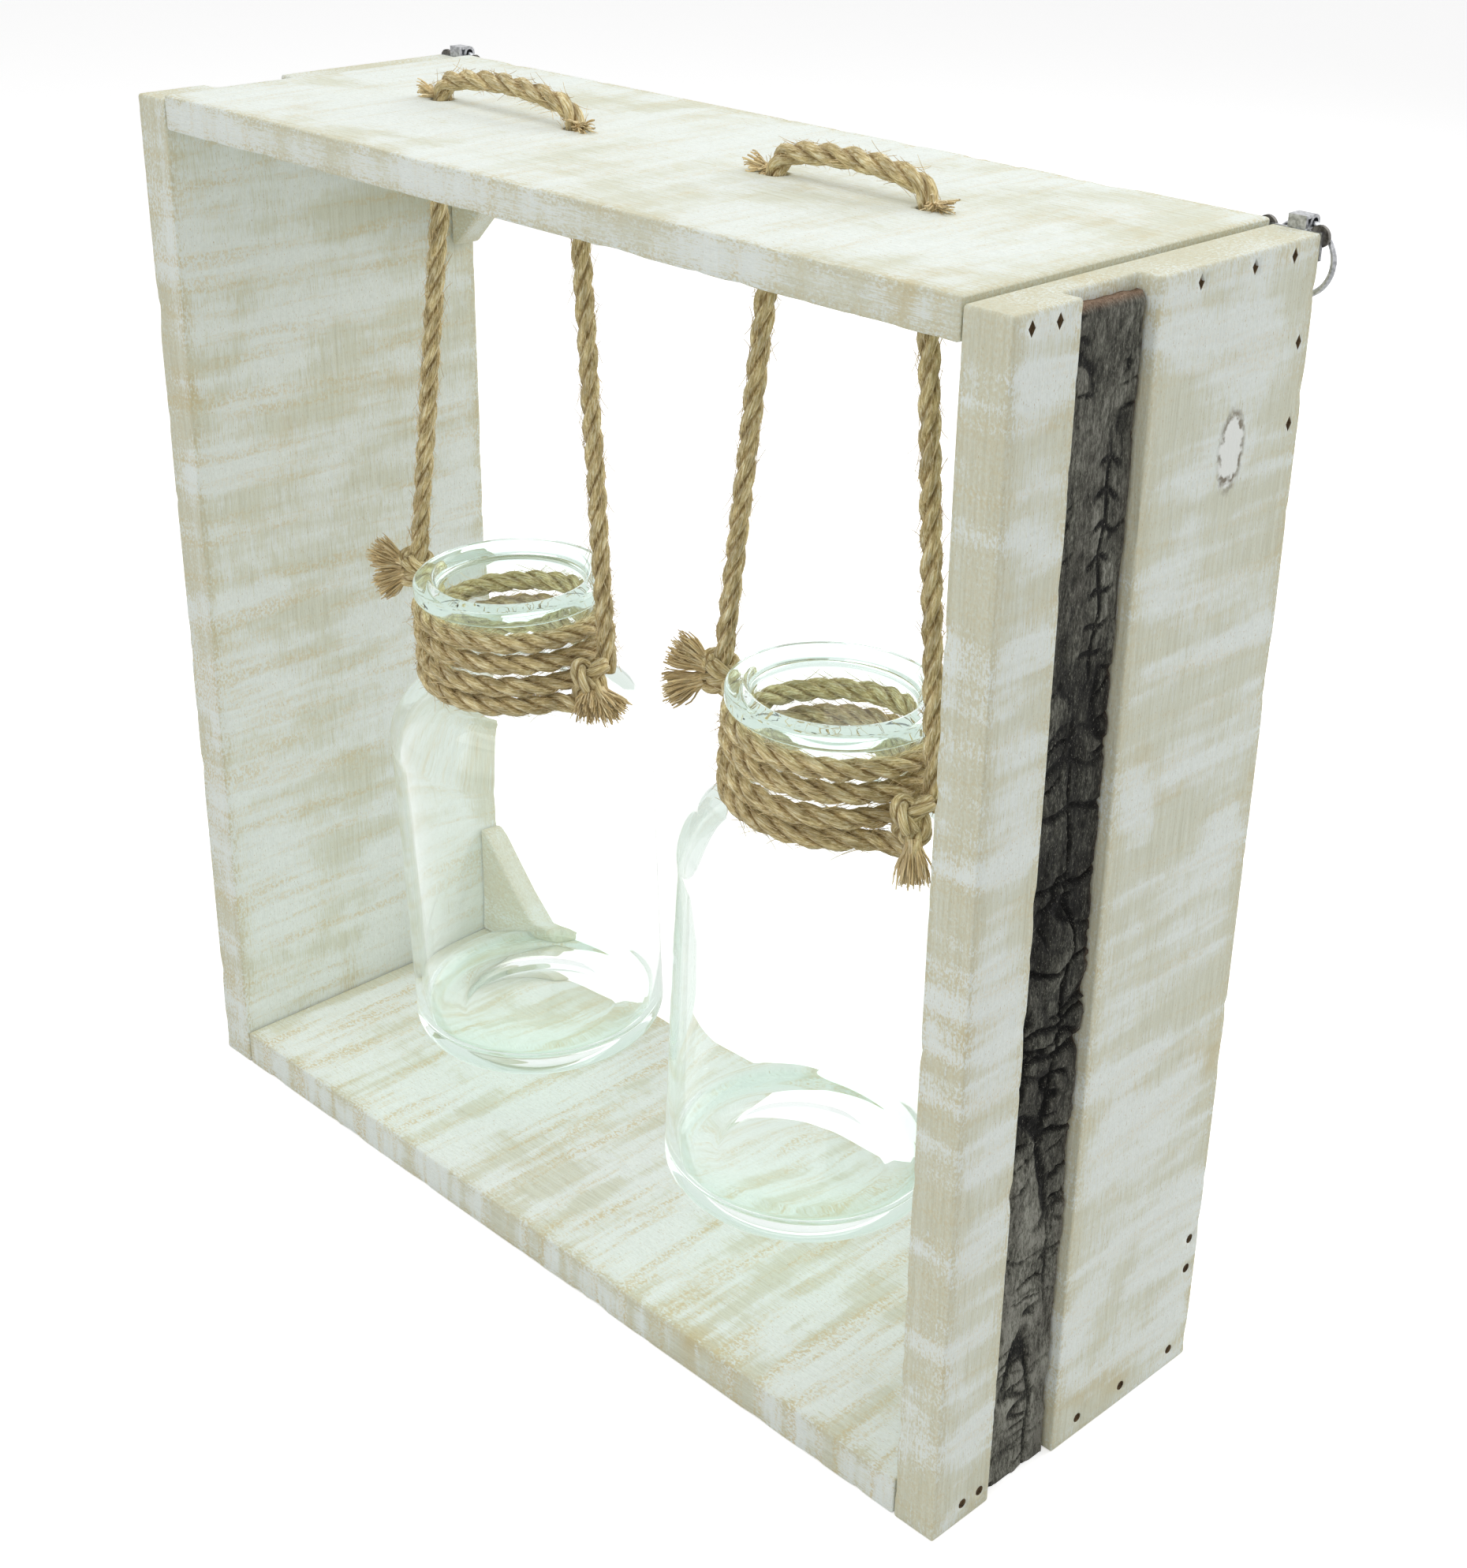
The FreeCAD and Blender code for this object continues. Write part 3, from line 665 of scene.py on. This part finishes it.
add_node(tree, "NodeGroupOutput", Color=colour, Height=height, Roughness=gloss)


def wash_material(name, grain_axis, shift, bare_share_with_painted_light, saw_share, streak_share=0.3):
    """Whitewash for a board whose grain runs along X or Z. Its bare share sets how much wood shows through
    the wash. It is partly painted light, since a lower share gives a shaded board a whiter wash.
    """
    material, tree, shader = new_material(name)
    where = add_node(tree, "ShaderNodeTexCoord")
    turn = (0, 0, 0) if grain_axis == "X" else (0, math.pi / 2, 0)
    mapping = add_node(tree, "ShaderNodeMapping", Vector=(where, "Object"), Rotation=turn,
                       Location=(shift, shift * 0.7, 0))
    worn = add_node(tree, "ShaderNodeAttribute", attribute_name="wear")
    group = add_node(tree, "ShaderNodeGroup", node_tree=wash_group)
    set_inputs(tree, group, {"Place": mapping, "Wear": (worn, "Fac"), "Bare": bare_share_with_painted_light, "Saw": saw_share,
                             "Streak": streak_share})
    bump = add_node(tree, "ShaderNodeBump", Strength=0.55, Distance=0.0006, Height=(group, "Height"))
    set_inputs(tree, shader, {"Base Color": (group, "Color"), "Roughness": (group, "Roughness"),
                              "Normal": bump, "Specular IOR Level": 0.25})
    return material, tree, shader, group


def add_knot(tree, shader, group):
    """Knot in the right board's outer face: a heart filled with wash, in a dark and broken ring."""
    where = add_node(tree, "ShaderNodeTexCoord")
    axes = add_node(tree, "ShaderNodeSeparateXYZ", Vector=(where, "Object"))
    wobble = add_node(tree, "ShaderNodeTexNoise", Vector=(where, "Object"), Scale=260.0, Detail=4.0)
    across = maths(tree, "DIVIDE", maths(tree, "SUBTRACT", (axes, 1), 0.0335), 0.0058)
    along = maths(tree, "DIVIDE", maths(tree, "SUBTRACT", (axes, 2), 0.340), 0.0115)
    squared = maths(tree, "ADD", maths(tree, "POWER", across, 2.0), maths(tree, "POWER", along, 2.0))
    away = plus(tree, maths(tree, "SQRT", squared, 0.0), wobble, 0.9)
    away = maths(tree, "SUBTRACT", away, 0.85)
    outer = maths(tree, "GREATER_THAN", (axes, 0), 0.198)
    grit = ramp(tree, wobble, [(0.42, grey(0.15)), (0.56, grey(1.0))])
    ring = ramp(tree, away, [(0.36, grey(0.0)), (0.48, grey(0.95)), (0.62, grey(0.8)), (0.80, grey(0.0))])
    ring = maths(tree, "MULTIPLY", maths(tree, "MULTIPLY", ring, outer), grit)
    heart = ramp(tree, away, [(0.40, grey(1.0)), (0.55, grey(0.0))])
    heart = maths(tree, "MULTIPLY", heart, outer)
    filled = mix(tree, heart, (group, "Color"), (0.86, 0.88, 0.84, 1.0))
    set_inputs(tree, shader, {"Base Color": mix(tree, ring, filled, (0.20, 0.165, 0.115, 1.0))})


def put_x(u, v, w):
    """Sweep along X."""
    return (w, u, v)


def put_z(u, v, w):
    """Sweep along Z, for the right side."""
    return (u, v, w)


def put_z_left(u, v, w):
    """Sweep along Z, mirrored for the left side."""
    return (-u, v, w)


# Nail holes: the walls of the holes round the sunk nail heads are dark brown, partly the wood's rust stain
# and partly painted shade for the depth of the holes.
rust_and_painted_shade, tree, shader = new_material("rust_stain_and_painted_shade")
where = add_node(tree, "ShaderNodeTexCoord")
spots = stretched_noise(tree, (where, "Object"), (900.0, 900.0, 400.0))
tone = ramp(tree, spots, [(0.35, (0.055, 0.035, 0.016)), (0.65, (0.21, 0.14, 0.065))])
set_inputs(tree, shader, {"Base Color": tone, "Roughness": 0.9})
HALF_D = 0.0675
OUTER_X, FLOOR_X, INNER_X = 0.2, 0.1925, 0.183
GROOVE_FRONT, GROOVE_BACK = -0.0395, -0.0075
INNER_SPAN, SIDE_SPAN = (-0.1826, 0.1826), (0.0, 0.396)
SQUARE, ROUND = 4, 10
nail_rows = [(y, 0.39175, SQUARE) for y in (-0.060, -0.049, 0.0107, 0.0356, 0.0546)]
nail_rows += [(y, 0.0075, ROUND) for y in (-0.0532, -0.0448, 0.0056, 0.0292, 0.0567)]
nail_rows += [(0.06175, z, SQUARE) for z in (0.366, 0.342)] + [(0.06175, z, ROUND) for z in (0.0525, 0.040)]
top_outline = [(-HALF_D, PIVOT_Z), (HALF_D, PIVOT_Z), (HALF_D, 0.398), (-HALF_D, 0.398)]
bottom_outline = [(-HALF_D, 0.0), (HALF_D, 0.0), (HALF_D, 0.015), (-HALF_D, 0.015)]
side_outline = [(INNER_X, -HALF_D), (OUTER_X, -HALF_D), (OUTER_X, GROOVE_FRONT), (FLOOR_X, GROOVE_FRONT),
                (FLOOR_X, GROOVE_BACK), (OUTER_X, GROOVE_BACK), (OUTER_X, HALF_D), (INNER_X, HALF_D)]
# The lower bare shares of the bottom and left boards are partly painted light: their whiter wash stands in
# for light that the inside of the frame doesn't get.
for name, outline, span, put, axis, seed, *shares in (
    ("top_board", top_outline, INNER_SPAN, put_x, "X", 3.0, -0.03, 0.30, 0.35),
    ("bottom_board", bottom_outline, INNER_SPAN, put_x, "X", 8.0, -0.05, 1.0, 0.8),
    ("left_side_board", side_outline, SIDE_SPAN, put_z_left, "Z", 14.0, -0.025, 0.50, 0.6),
    ("right_side_board", side_outline, SIDE_SPAN, put_z, "Z", 21.0, 0.01, 0.80, 0.3),
):
    material, tree, shader, group = wash_material(name + "_wash", axis, seed, *shares)
    raw_x = 0.1997 if outline is side_outline else 0.0
    board = add_piece(name + "_planed", plank(name, outline, span, put, seed, raw_x=raw_x), material)
    if name == "top_board":
        holes = [x for jar in JARS.values() for x in jar["holes"]]
        carve(board, [((x, HOLE_Y, 0.392), (0, 0, 1), 0.0045, 0.03, 24, 1.0) for x in holes])
    if outline is side_outline:
        sign = -1 if put is put_z_left else 1
        cutters = []
        for y, z, sides in nail_rows:
            radius, flat = (0.0026, 0.6) if sides == SQUARE else (0.0020, 1.0)
            cutters.append(((sign * OUTER_X, y, z), (sign, 0, 0), radius, 0.0034, sides, flat))
        carve(board, cutters)
        # The hole walls get the dark rust stain and painted shade.
        board.data.materials.append(rust_and_painted_shade)
        for face in board.data.polygons:
            x, y, z = face.center
            nearest = min((y - nail_y) ** 2 + (z - nail_z) ** 2 for nail_y, nail_z, sides in nail_rows)
            if 0.19 < abs(x) < 0.1993 and nearest < 0.0028**2:
                face.material_index = 1
    if name == "right_side_board":
        add_knot(tree, shader, group)
    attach(board, "frame")
    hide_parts(name)

# Gussets: triangular blocks of the same wood, glued and nailed into the four rear corners. Their thin tips
# are broken off blunt.
TIP = 0.003
GUSSET_X, GUSSET_FRONT = 0.1828, 0.056


def put_y(u, v, w):
    """Sweep along Y."""
    return (u, w, v)


gusset_wash = wash_material("gusset_wash", "X", 30.0, 0.02, 0.2)[0]
for name, corner_z, leg, up in (("top", PIVOT_Z, 0.062, -1), ("bottom", 0.015, 0.057, 1)):
    for side, sign in (("left", -1), ("right", 1)):
        steps = [(0.0, 0.0), (leg - TIP, 0.0), (leg - TIP, TIP), (TIP, leg - TIP), (0.0, leg - TIP)]
        corners = [(sign * (GUSSET_X - across), corner_z + up * along) for across, along in steps]
        mesh = plank(name, corners, (GUSSET_FRONT, HALF_D), put_y, sign * 5.0 + up, chip=0.0006)
        block = add_piece(f"{name}_{side}_block", mesh, gusset_wash)
        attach(block, "frame")
        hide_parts(f"{name}_{side}_gusset")

# Bark strips: a strip of rough tree bark glued into each groove, dark grey outside, painted black as shade in
# the fissures between its plates and painted lighter on the raised plates, and red-brown where it was cut at
# the edges and at the top.
bark, tree, shader = new_material("bark")
where = add_node(tree, "ShaderNodeTexCoord")
# The relief attribute carries the bark's colour level, with painted shade in its fissures and painted light
# on its raised plates.
relief = add_node(tree, "ShaderNodeAttribute", attribute_name="relief")
cut = add_node(tree, "ShaderNodeAttribute", attribute_name="cut_edge")
fleck = stretched_noise(tree, (where, "Object"), (700.0, 900.0, 260.0), detail=5.0, rough=0.7)
blotch = stretched_noise(tree, (where, "Object"), (90.0, 90.0, 35.0), detail=3.0)
grit = stretched_noise(tree, (where, "Object"), (2000.0, 2600.0, 800.0), rough=0.7)
rugged = plus(tree, maths(tree, "MULTIPLY", fleck, 1.2), grit, 0.9)
level = maths(tree, "ADD", (relief, "Fac"), maths(tree, "SUBTRACT", rugged, 1.05))
# Colour by level: painted shade takes the fissures nearly to black and painted light brightens the raised
# plates, over the bark's own grey.
tone = ramp(tree, level, [(0.14, (0.006, 0.006, 0.005)), (0.40, (0.040, 0.040, 0.033)),
                          (0.64, (0.135, 0.135, 0.112)), (0.92, (0.33, 0.33, 0.29))])
cast = ramp(tree, blotch, [(0.35, (0.62, 0.60, 0.58)), (0.65, (1.25, 1.25, 1.22))])
tone = mix(tree, 1.0, tone, cast, "MULTIPLY")
flake = ramp(tree, grit, [(0.61, grey(0.0)), (0.68, grey(0.75))])
tone = mix(tree, flake, tone, (0.40, 0.39, 0.33, 1.0))
brown = ramp(tree, grit, [(0.3, (0.13, 0.065, 0.03)), (0.7, (0.50, 0.35, 0.24))])
bump = add_node(tree, "ShaderNodeBump", Strength=1.0, Distance=0.0007, Height=level)
set_inputs(tree, shader, {"Base Color": mix(tree, (cut, "Fac"), tone, brown), "Normal": bump,
                          "Roughness": 0.88, "Specular IOR Level": 0.3})


def fade(low, high, value):
    """Soft step from 0 at low to 1 at high."""
    t = min(1.0, max(0.0, (value - low) / (high - low)))
    return t * t * (3 - 2 * t)


def bark_height(y, z, seed):
    """Height of the bark over its flat core, and its tone with painted shade and light: flat and grey above,
    in blocky plates below.
    """
    rough = (1.0 - fade(0.20, 0.33, z)) * (0.35 + 0.65 * fade(0.07, 0.14, z))
    warp = noise.noise_vector((y * 70 + seed, z * 45, 0.0)) * 0.005
    u, w = y + warp.x, z + warp.y
    layers = noise.fractal(Vector((u * 80, w * 44, seed)), 1.0, 2.0, 4) * (2.2 + 2.0 * rough)
    level = math.floor(layers)
    relief = (level + fade(0.72, 1.0, layers - level)) / (2.2 + 2.0 * rough)
    split = abs(noise.noise((u * 48 + seed, w * 9, 7.0 + seed)))
    across = abs(noise.noise((u * 16, w * 62 + seed, 2.0 + seed)))
    tick = abs(noise.noise((u * 50, w * 130 + seed, 9.0 + seed)))
    cluster = fade(-0.15, 0.2, noise.noise((y * 60 + seed, z * 28, 5.0)))
    fissure = (1.0 - fade(0.012, 0.065, split)) * max(rough, cluster)
    fissure = max(fissure, rough * (1.0 - fade(0.02, 0.10, across)))
    fissure = max(fissure, 0.9 * cluster * (1.0 - fade(0.02, 0.10, tick)))
    seam = -0.0190 + 0.0022 * noise.noise((z * 70, seed, 1.0))
    aside = abs(y - seam)
    open_here = fade(0.275, 0.29, z) * (1.0 - fade(0.345, 0.36, z))
    rung = abs((z * 105 + 0.6 * noise.noise((y * 120, z * 40, seed))) % 1.0 - 0.5)
    crack = (1.0 - fade(0.0004, 0.0013, aside)) * open_here
    crack = max(crack, (1.0 - fade(0.05, 0.14, rung)) * (1.0 - fade(0.003, 0.0065, aside)) * open_here)
    fissure = max(fissure, crack)
    fibre = noise.noise((y * 900, z * 130, seed))
    height = relief * (0.0006 + 0.0014 * rough) + fibre * 0.00015 - fissure * (0.0007 + 0.0013 * rough)
    tint = 0.24 * math.exp(-(((z - 0.22) / 0.06) ** 2))
    tint = tint - 0.2 * (1.0 - fade(0.06, 0.16, z)) - 0.06 * fade(0.27, 0.32, z)
    # Colour level: the bark's own grey and fibre, with painted light on the raised plates and painted shade
    # in the fissures.
    return height, 0.61 + 0.24 * relief + 0.10 * fibre - 0.55 * fissure - tint


BARK_FRONT, BARK_BACK, BARK_TOP = -0.0390, -0.0080, 0.392
FRAY_RUN = 0.0018
across, along = 56, 500
# noise_vector takes its offsets from this seed, so the bark is the same each run.
noise.seed_set(7)
for side, sign in (("left", -1), ("right", 1)):
    verts, tones_with_painted_shade, cuts, faces = [], [], [], []
    for i in range(along + 1):
        z = BARK_TOP * i / along
        for j in range(across + 1):
            t = j / across
            y = BARK_FRONT + (BARK_BACK - BARK_FRONT) * t
            if 0 < j < across:
                y += 0.0008 * noise.noise((z * 60, sign * 9.0, t))
            height, tone_with_painted_shade = bark_height(y, z, 5.0 * sign + 11)
            fall = math.exp(-min(t, 1 - t) * across / 1.2)
            fray = min(1.0, max(0.0, (z - BARK_TOP + FRAY_RUN) / FRAY_RUN))
            thick = min(max(0.0042 + height - 0.0012 * fall, 0.0012), 0.0066) * (1 - 0.35 * fray)
            wobble = 0.0012 * noise.noise((y * 150, 4.0, sign)) * fray
            verts.append((sign * (FLOOR_X + thick), y, z + wobble))
            tones_with_painted_shade.append(tone_with_painted_shade)
            cuts.append(max(0.85 * fall if j < across / 2 else 0.45 * fall, fray * 0.8))
    wide = across + 1
    for i in range(along):
        for j in range(across):
            a = i * wide + j
            faces.append((a, a + 1, a + wide + 1, a + wide))
    rim = list(range(across)) + [i * wide + across for i in range(along)]
    rim += [along * wide + j for j in range(across, 0, -1)] + [i * wide for i in range(along, 0, -1)]
    base = len(verts)
    for a in rim:
        verts.append((sign * FLOOR_X, verts[a][1], verts[a][2]))
        tones_with_painted_shade.append(0.4)
        cuts.append(1.0)
    for k in range(len(rim)):
        m = (k + 1) % len(rim)
        faces.append((rim[k], rim[m], base + m, base + k))
    faces.append(tuple(range(base, base + len(rim))))
    mesh = bpy.data.meshes.new(side + "_bark")
    mesh.from_pydata(verts, [], faces)
    mesh.attributes.new("relief", "FLOAT", "POINT").data.foreach_set("value", tones_with_painted_shade)
    mesh.attributes.new("cut_edge", "FLOAT", "POINT").data.foreach_set("value", cuts)
    shape = bmesh.new()
    shape.from_mesh(mesh)
    bmesh.ops.recalc_face_normals(shape, faces=shape.faces)
    shape.to_mesh(mesh)
    shape.free()
    smooth(mesh)
    piece = add_piece(side + "_bark", mesh, bark)
    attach(piece, "frame")
    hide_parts(side + "_bark_strip")

# Nails and hangers: rusty wire nails sunk into the side boards, and zinc-plated strap hangers, each with a
# rolled eye and a loose wire ring, held to the back by clout nails.
for name, ends, dark, pale, metal, rough in (
    ("rusty_nail", ("frame_nails", "gusset_nails"), (0.035, 0.022, 0.010), (0.15, 0.09, 0.04), 0.0, 0.9),
    ("zinc_steel", ("hanger_plate", "hanger_ring"), (0.34, 0.35, 0.36), (0.62, 0.63, 0.65), 1.0, 0.32),
    ("dull_clout", ("hanger_nails",), (0.06, 0.055, 0.05), (0.20, 0.19, 0.17), 0.9, 0.5),
):
    material, tree, shader = new_material(name)
    where = add_node(tree, "ShaderNodeTexCoord")
    spots = stretched_noise(tree, (where, "Object"), (900.0, 900.0, 900.0))
    tone = ramp(tree, spots, [(0.35, dark), (0.65, pale)])
    worn = ramp(tree, spots, [(0.3, grey(rough * 0.8)), (0.7, grey(min(1.0, rough * 1.25)))])
    bump = add_node(tree, "ShaderNodeBump", Strength=0.25, Distance=0.0002, Height=spots)
    set_inputs(tree, shader, {"Base Color": tone, "Roughness": worn, "Normal": bump, "Metallic": metal})
    for node in nodes.values():
        if node.name.endswith(ends):
            node.data.materials.clear()
            node.data.materials.append(material)

# Jars: thick pressed glass, turned about the jar's axis, clear with a pale green cast where the glass is
# thick, at the flat lip ring and the heel. They hang in their windings and touch nothing else.
def bow(a, b, c, count=7):
    """Points on the arc from a over b to c, without a."""
    (ax, ay), (bx, by), (cx, cy) = a, b, c
    d = 2 * (ax * (by - cy) + bx * (cy - ay) + cx * (ay - by))
    ux = ((ax**2 + ay**2) * (by - cy) + (bx**2 + by**2) * (cy - ay) + (cx**2 + cy**2) * (ay - by)) / d
    uy = ((ax**2 + ay**2) * (cx - bx) + (bx**2 + by**2) * (ax - cx) + (cx**2 + cy**2) * (bx - ax)) / d
    start, end = math.atan2(ay - uy, ax - ux), math.atan2(cy - uy, cx - ux)
    through = math.atan2(by - uy, bx - ux)
    sweep = (end - start) % math.tau
    if (through - start) % math.tau > sweep:
        sweep -= math.tau
    r = math.hypot(ax - ux, ay - uy)
    return [(ux + r * math.cos(start + sweep * k / count), uy + r * math.sin(start + sweep * k / count))
            for k in range(1, count + 1)]


profile = [(0.0, 187.6), (12.0, 187.6), (28.6, 187.7), (30.4, 188.4), (33.6, 189.1), (40.4, 189.7)]
profile += [(43.4, 189.7)]
profile += bow((43.4, 189.7), (47.9, 186.2), (49.4, 179.5))
profile += [(49.4, z) for z in (160.0, 130.0, 100.0, 80.0, 65.3)]
profile += bow((49.4, 65.3), (44.1, 47.7), (32.4, 41.8), 12)
profile += bow((32.4, 41.8), (30.5, 40.9), (29.8, 39.0), 4)
profile += [(29.8, 22.0), (29.8, 5.3)]
profile += bow((29.8, 5.3), (30.2, 4.4), (31.1, 4.1), 4) + [(34.7, 3.7)]
profile += bow((34.7, 3.7), (35.8, 3.2), (36.2, 2.0), 4) + [(36.2, -0.5)]
profile += bow((36.2, -0.5), (35.7, -1.8), (34.5, -2.3), 4) + [(30.2, -3.1)]
profile += bow((30.2, -3.1), (28.9, -2.6), (28.4, -1.2), 4) + [(26.7, 3.6), (26.7, 20.0), (26.7, 41.7)]
profile += bow((26.7, 41.7), (42.1, 51.2), (46.6, 67.3), 12)
profile += [(46.6, z) for z in (80.0, 100.0, 130.0, 160.0, 175.5)]
profile += bow((46.6, 175.5), (44.8, 180.1), (40.6, 182.0)) + [(29.0, 182.0), (12.0, 182.0), (0.0, 182.0)]
glass, tree, shader = new_material("glass")
thick = add_node(tree, "ShaderNodeAttribute", attribute_name="thick")
tint = ramp(tree, thick, [(0.0, (0.985, 0.995, 0.99)), (1.0, (0.80, 0.945, 0.89))], "Fac")
where = add_node(tree, "ShaderNodeTexCoord")
ripple = add_node(tree, "ShaderNodeTexNoise", Vector=(where, "Object"), Scale=26.0, Detail=1.0)
bump = add_node(tree, "ShaderNodeBump", Strength=0.05, Distance=0.0012, Height=ripple)
set_inputs(tree, shader, {"Base Color": tint, "Normal": bump, "Transmission Weight": 1.0, "Roughness": 0.0,
                          "IOR": 1.46})
light = add_node(tree, "ShaderNodeLightPath")
clear = add_node(tree, "ShaderNodeBsdfTransparent", Color=(0.93, 0.96, 0.945, 1.0))
# Rays still inside the glass after five bounces end in a pale green glow: painted light in place of the light
# they would carry out.
painted_glow = add_node(tree, "ShaderNodeEmission", Color=(0.83, 0.93, 0.86, 1.0), Strength=0.9)
trapped = maths(tree, "GREATER_THAN", (light, "Ray Depth"), 5.5)
caught = add_node(tree, "ShaderNodeMixShader", i0=trapped, i1=shader, i2=painted_glow)
passed = add_node(tree, "ShaderNodeMixShader", i0=(light, "Is Shadow Ray"), i1=caught, i2=clear)
set_inputs(tree, tree.nodes["Material Output"], {"Surface": passed})
for side, jar in JARS.items():
    shape = bmesh.new()
    chain = [shape.verts.new((r * 0.001, 0.0, -depth * 0.001)) for r, depth in profile]
    edges = [shape.edges.new(pair) for pair in zip(chain, chain[1:])]
    bmesh.ops.spin(shape, geom=chain + edges, cent=(0, 0, 0), axis=(0, 0, 1), angle=math.tau, steps=120,
                   use_merge=True)
    bmesh.ops.remove_doubles(shape, verts=shape.verts, dist=1e-7)
    bmesh.ops.recalc_face_normals(shape, faces=shape.faces)
    mesh = bpy.data.meshes.new(side + "_jar")
    shape.to_mesh(mesh)
    shape.free()
    tints = []
    for vertex in mesh.vertices:
        depth = -vertex.co.z * 1000
        heel = 0.1 + 0.9 * fade(0.038, 0.044, vertex.co.xy.length)
        tints.append(max(min(0.9, (6.0 - depth) / 3.0), heel * min(1.0, (depth - 176.0) / 8.0), 0.0))
    mesh.attributes.new("thick", "FLOAT", "POINT").data.foreach_set("value", tints)
    mesh.transform(jar["lean"])
    smooth(mesh)
    piece = add_piece(side + "_jar_glass", mesh, glass)
    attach(piece, side + "_jar")
    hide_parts(side + "_jar")

# Floor and backdrop: one plain sheet of matt white board that the frame stands on. It shines a little of its
# own where the camera sees it, also through glass, so that it stays white around the soft shadow.
floor_material, tree, shader = new_material("floor")
path = add_node(tree, "ShaderNodeLightPath")
seen = maths(tree, "MAXIMUM", (path, "Is Camera Ray"), (path, "Is Transmission Ray"))
set_inputs(tree, shader, {"Base Color": (0.9, 0.9, 0.9, 1.0), "Roughness": 0.9,
                          "Emission Color": (1.0, 1.0, 1.0, 1.0),
                          "Emission Strength": maths(tree, "MULTIPLY", seen, 0.5)})
mesh = bpy.data.meshes.new("floor")
shape = bmesh.new()
bmesh.ops.create_grid(shape, x_segments=1, y_segments=1, size=6.0)
shape.to_mesh(mesh)
shape.free()
floor = add_piece("floor", mesh, floor_material)

# Light: large soft studio lamps, one overhead, one behind and a faint one in front, and an even white
# surround. It is full white where the camera sees it, mirrored or through glass too, and dimmer as a light.
for name, spot, aim, size, power in (
    ("overhead", (0.0, -0.3, 1.9), (0, 0, 0.2), 1.8, 15.0),
    ("front", (0.3, -1.6, 1.0), (-0.05, 0, 0.2), 1.4, 5.0),
    ("back", (0.4, 1.4, 0.95), (-0.05, 0, 0.05), 1.4, 15.0),
):
    data = bpy.data.lights.new(name, "AREA")
    data.size = size
    data.energy = power
    lamp = bpy.data.objects.new(name, data)
    lamp.location = spot
    lamp.rotation_euler = (Vector(aim) - Vector(spot)).to_track_quat("-Z", "Y").to_euler()
    bpy.context.scene.collection.objects.link(lamp)
world = bpy.data.worlds.new("surround")
bpy.context.scene.world = world
world.use_nodes = True
tree = world.node_tree
tree.nodes.clear()
path = add_node(tree, "ShaderNodeLightPath")
seen = maths(tree, "MAXIMUM", (path, "Is Camera Ray"), (path, "Is Glossy Ray"))
seen = maths(tree, "MAXIMUM", seen, (path, "Is Transmission Ray"))
white = add_node(tree, "ShaderNodeBackground", Color=(1, 1, 1, 1), Strength=1.0)
fill = add_node(tree, "ShaderNodeBackground", Color=(1, 1, 1, 1), Strength=0.42)
both = add_node(tree, "ShaderNodeMixShader", i0=seen, i1=fill, i2=white)
add_node(tree, "ShaderNodeOutputWorld", Surface=both)
bpy.context.scene.view_settings.view_transform = "Standard"
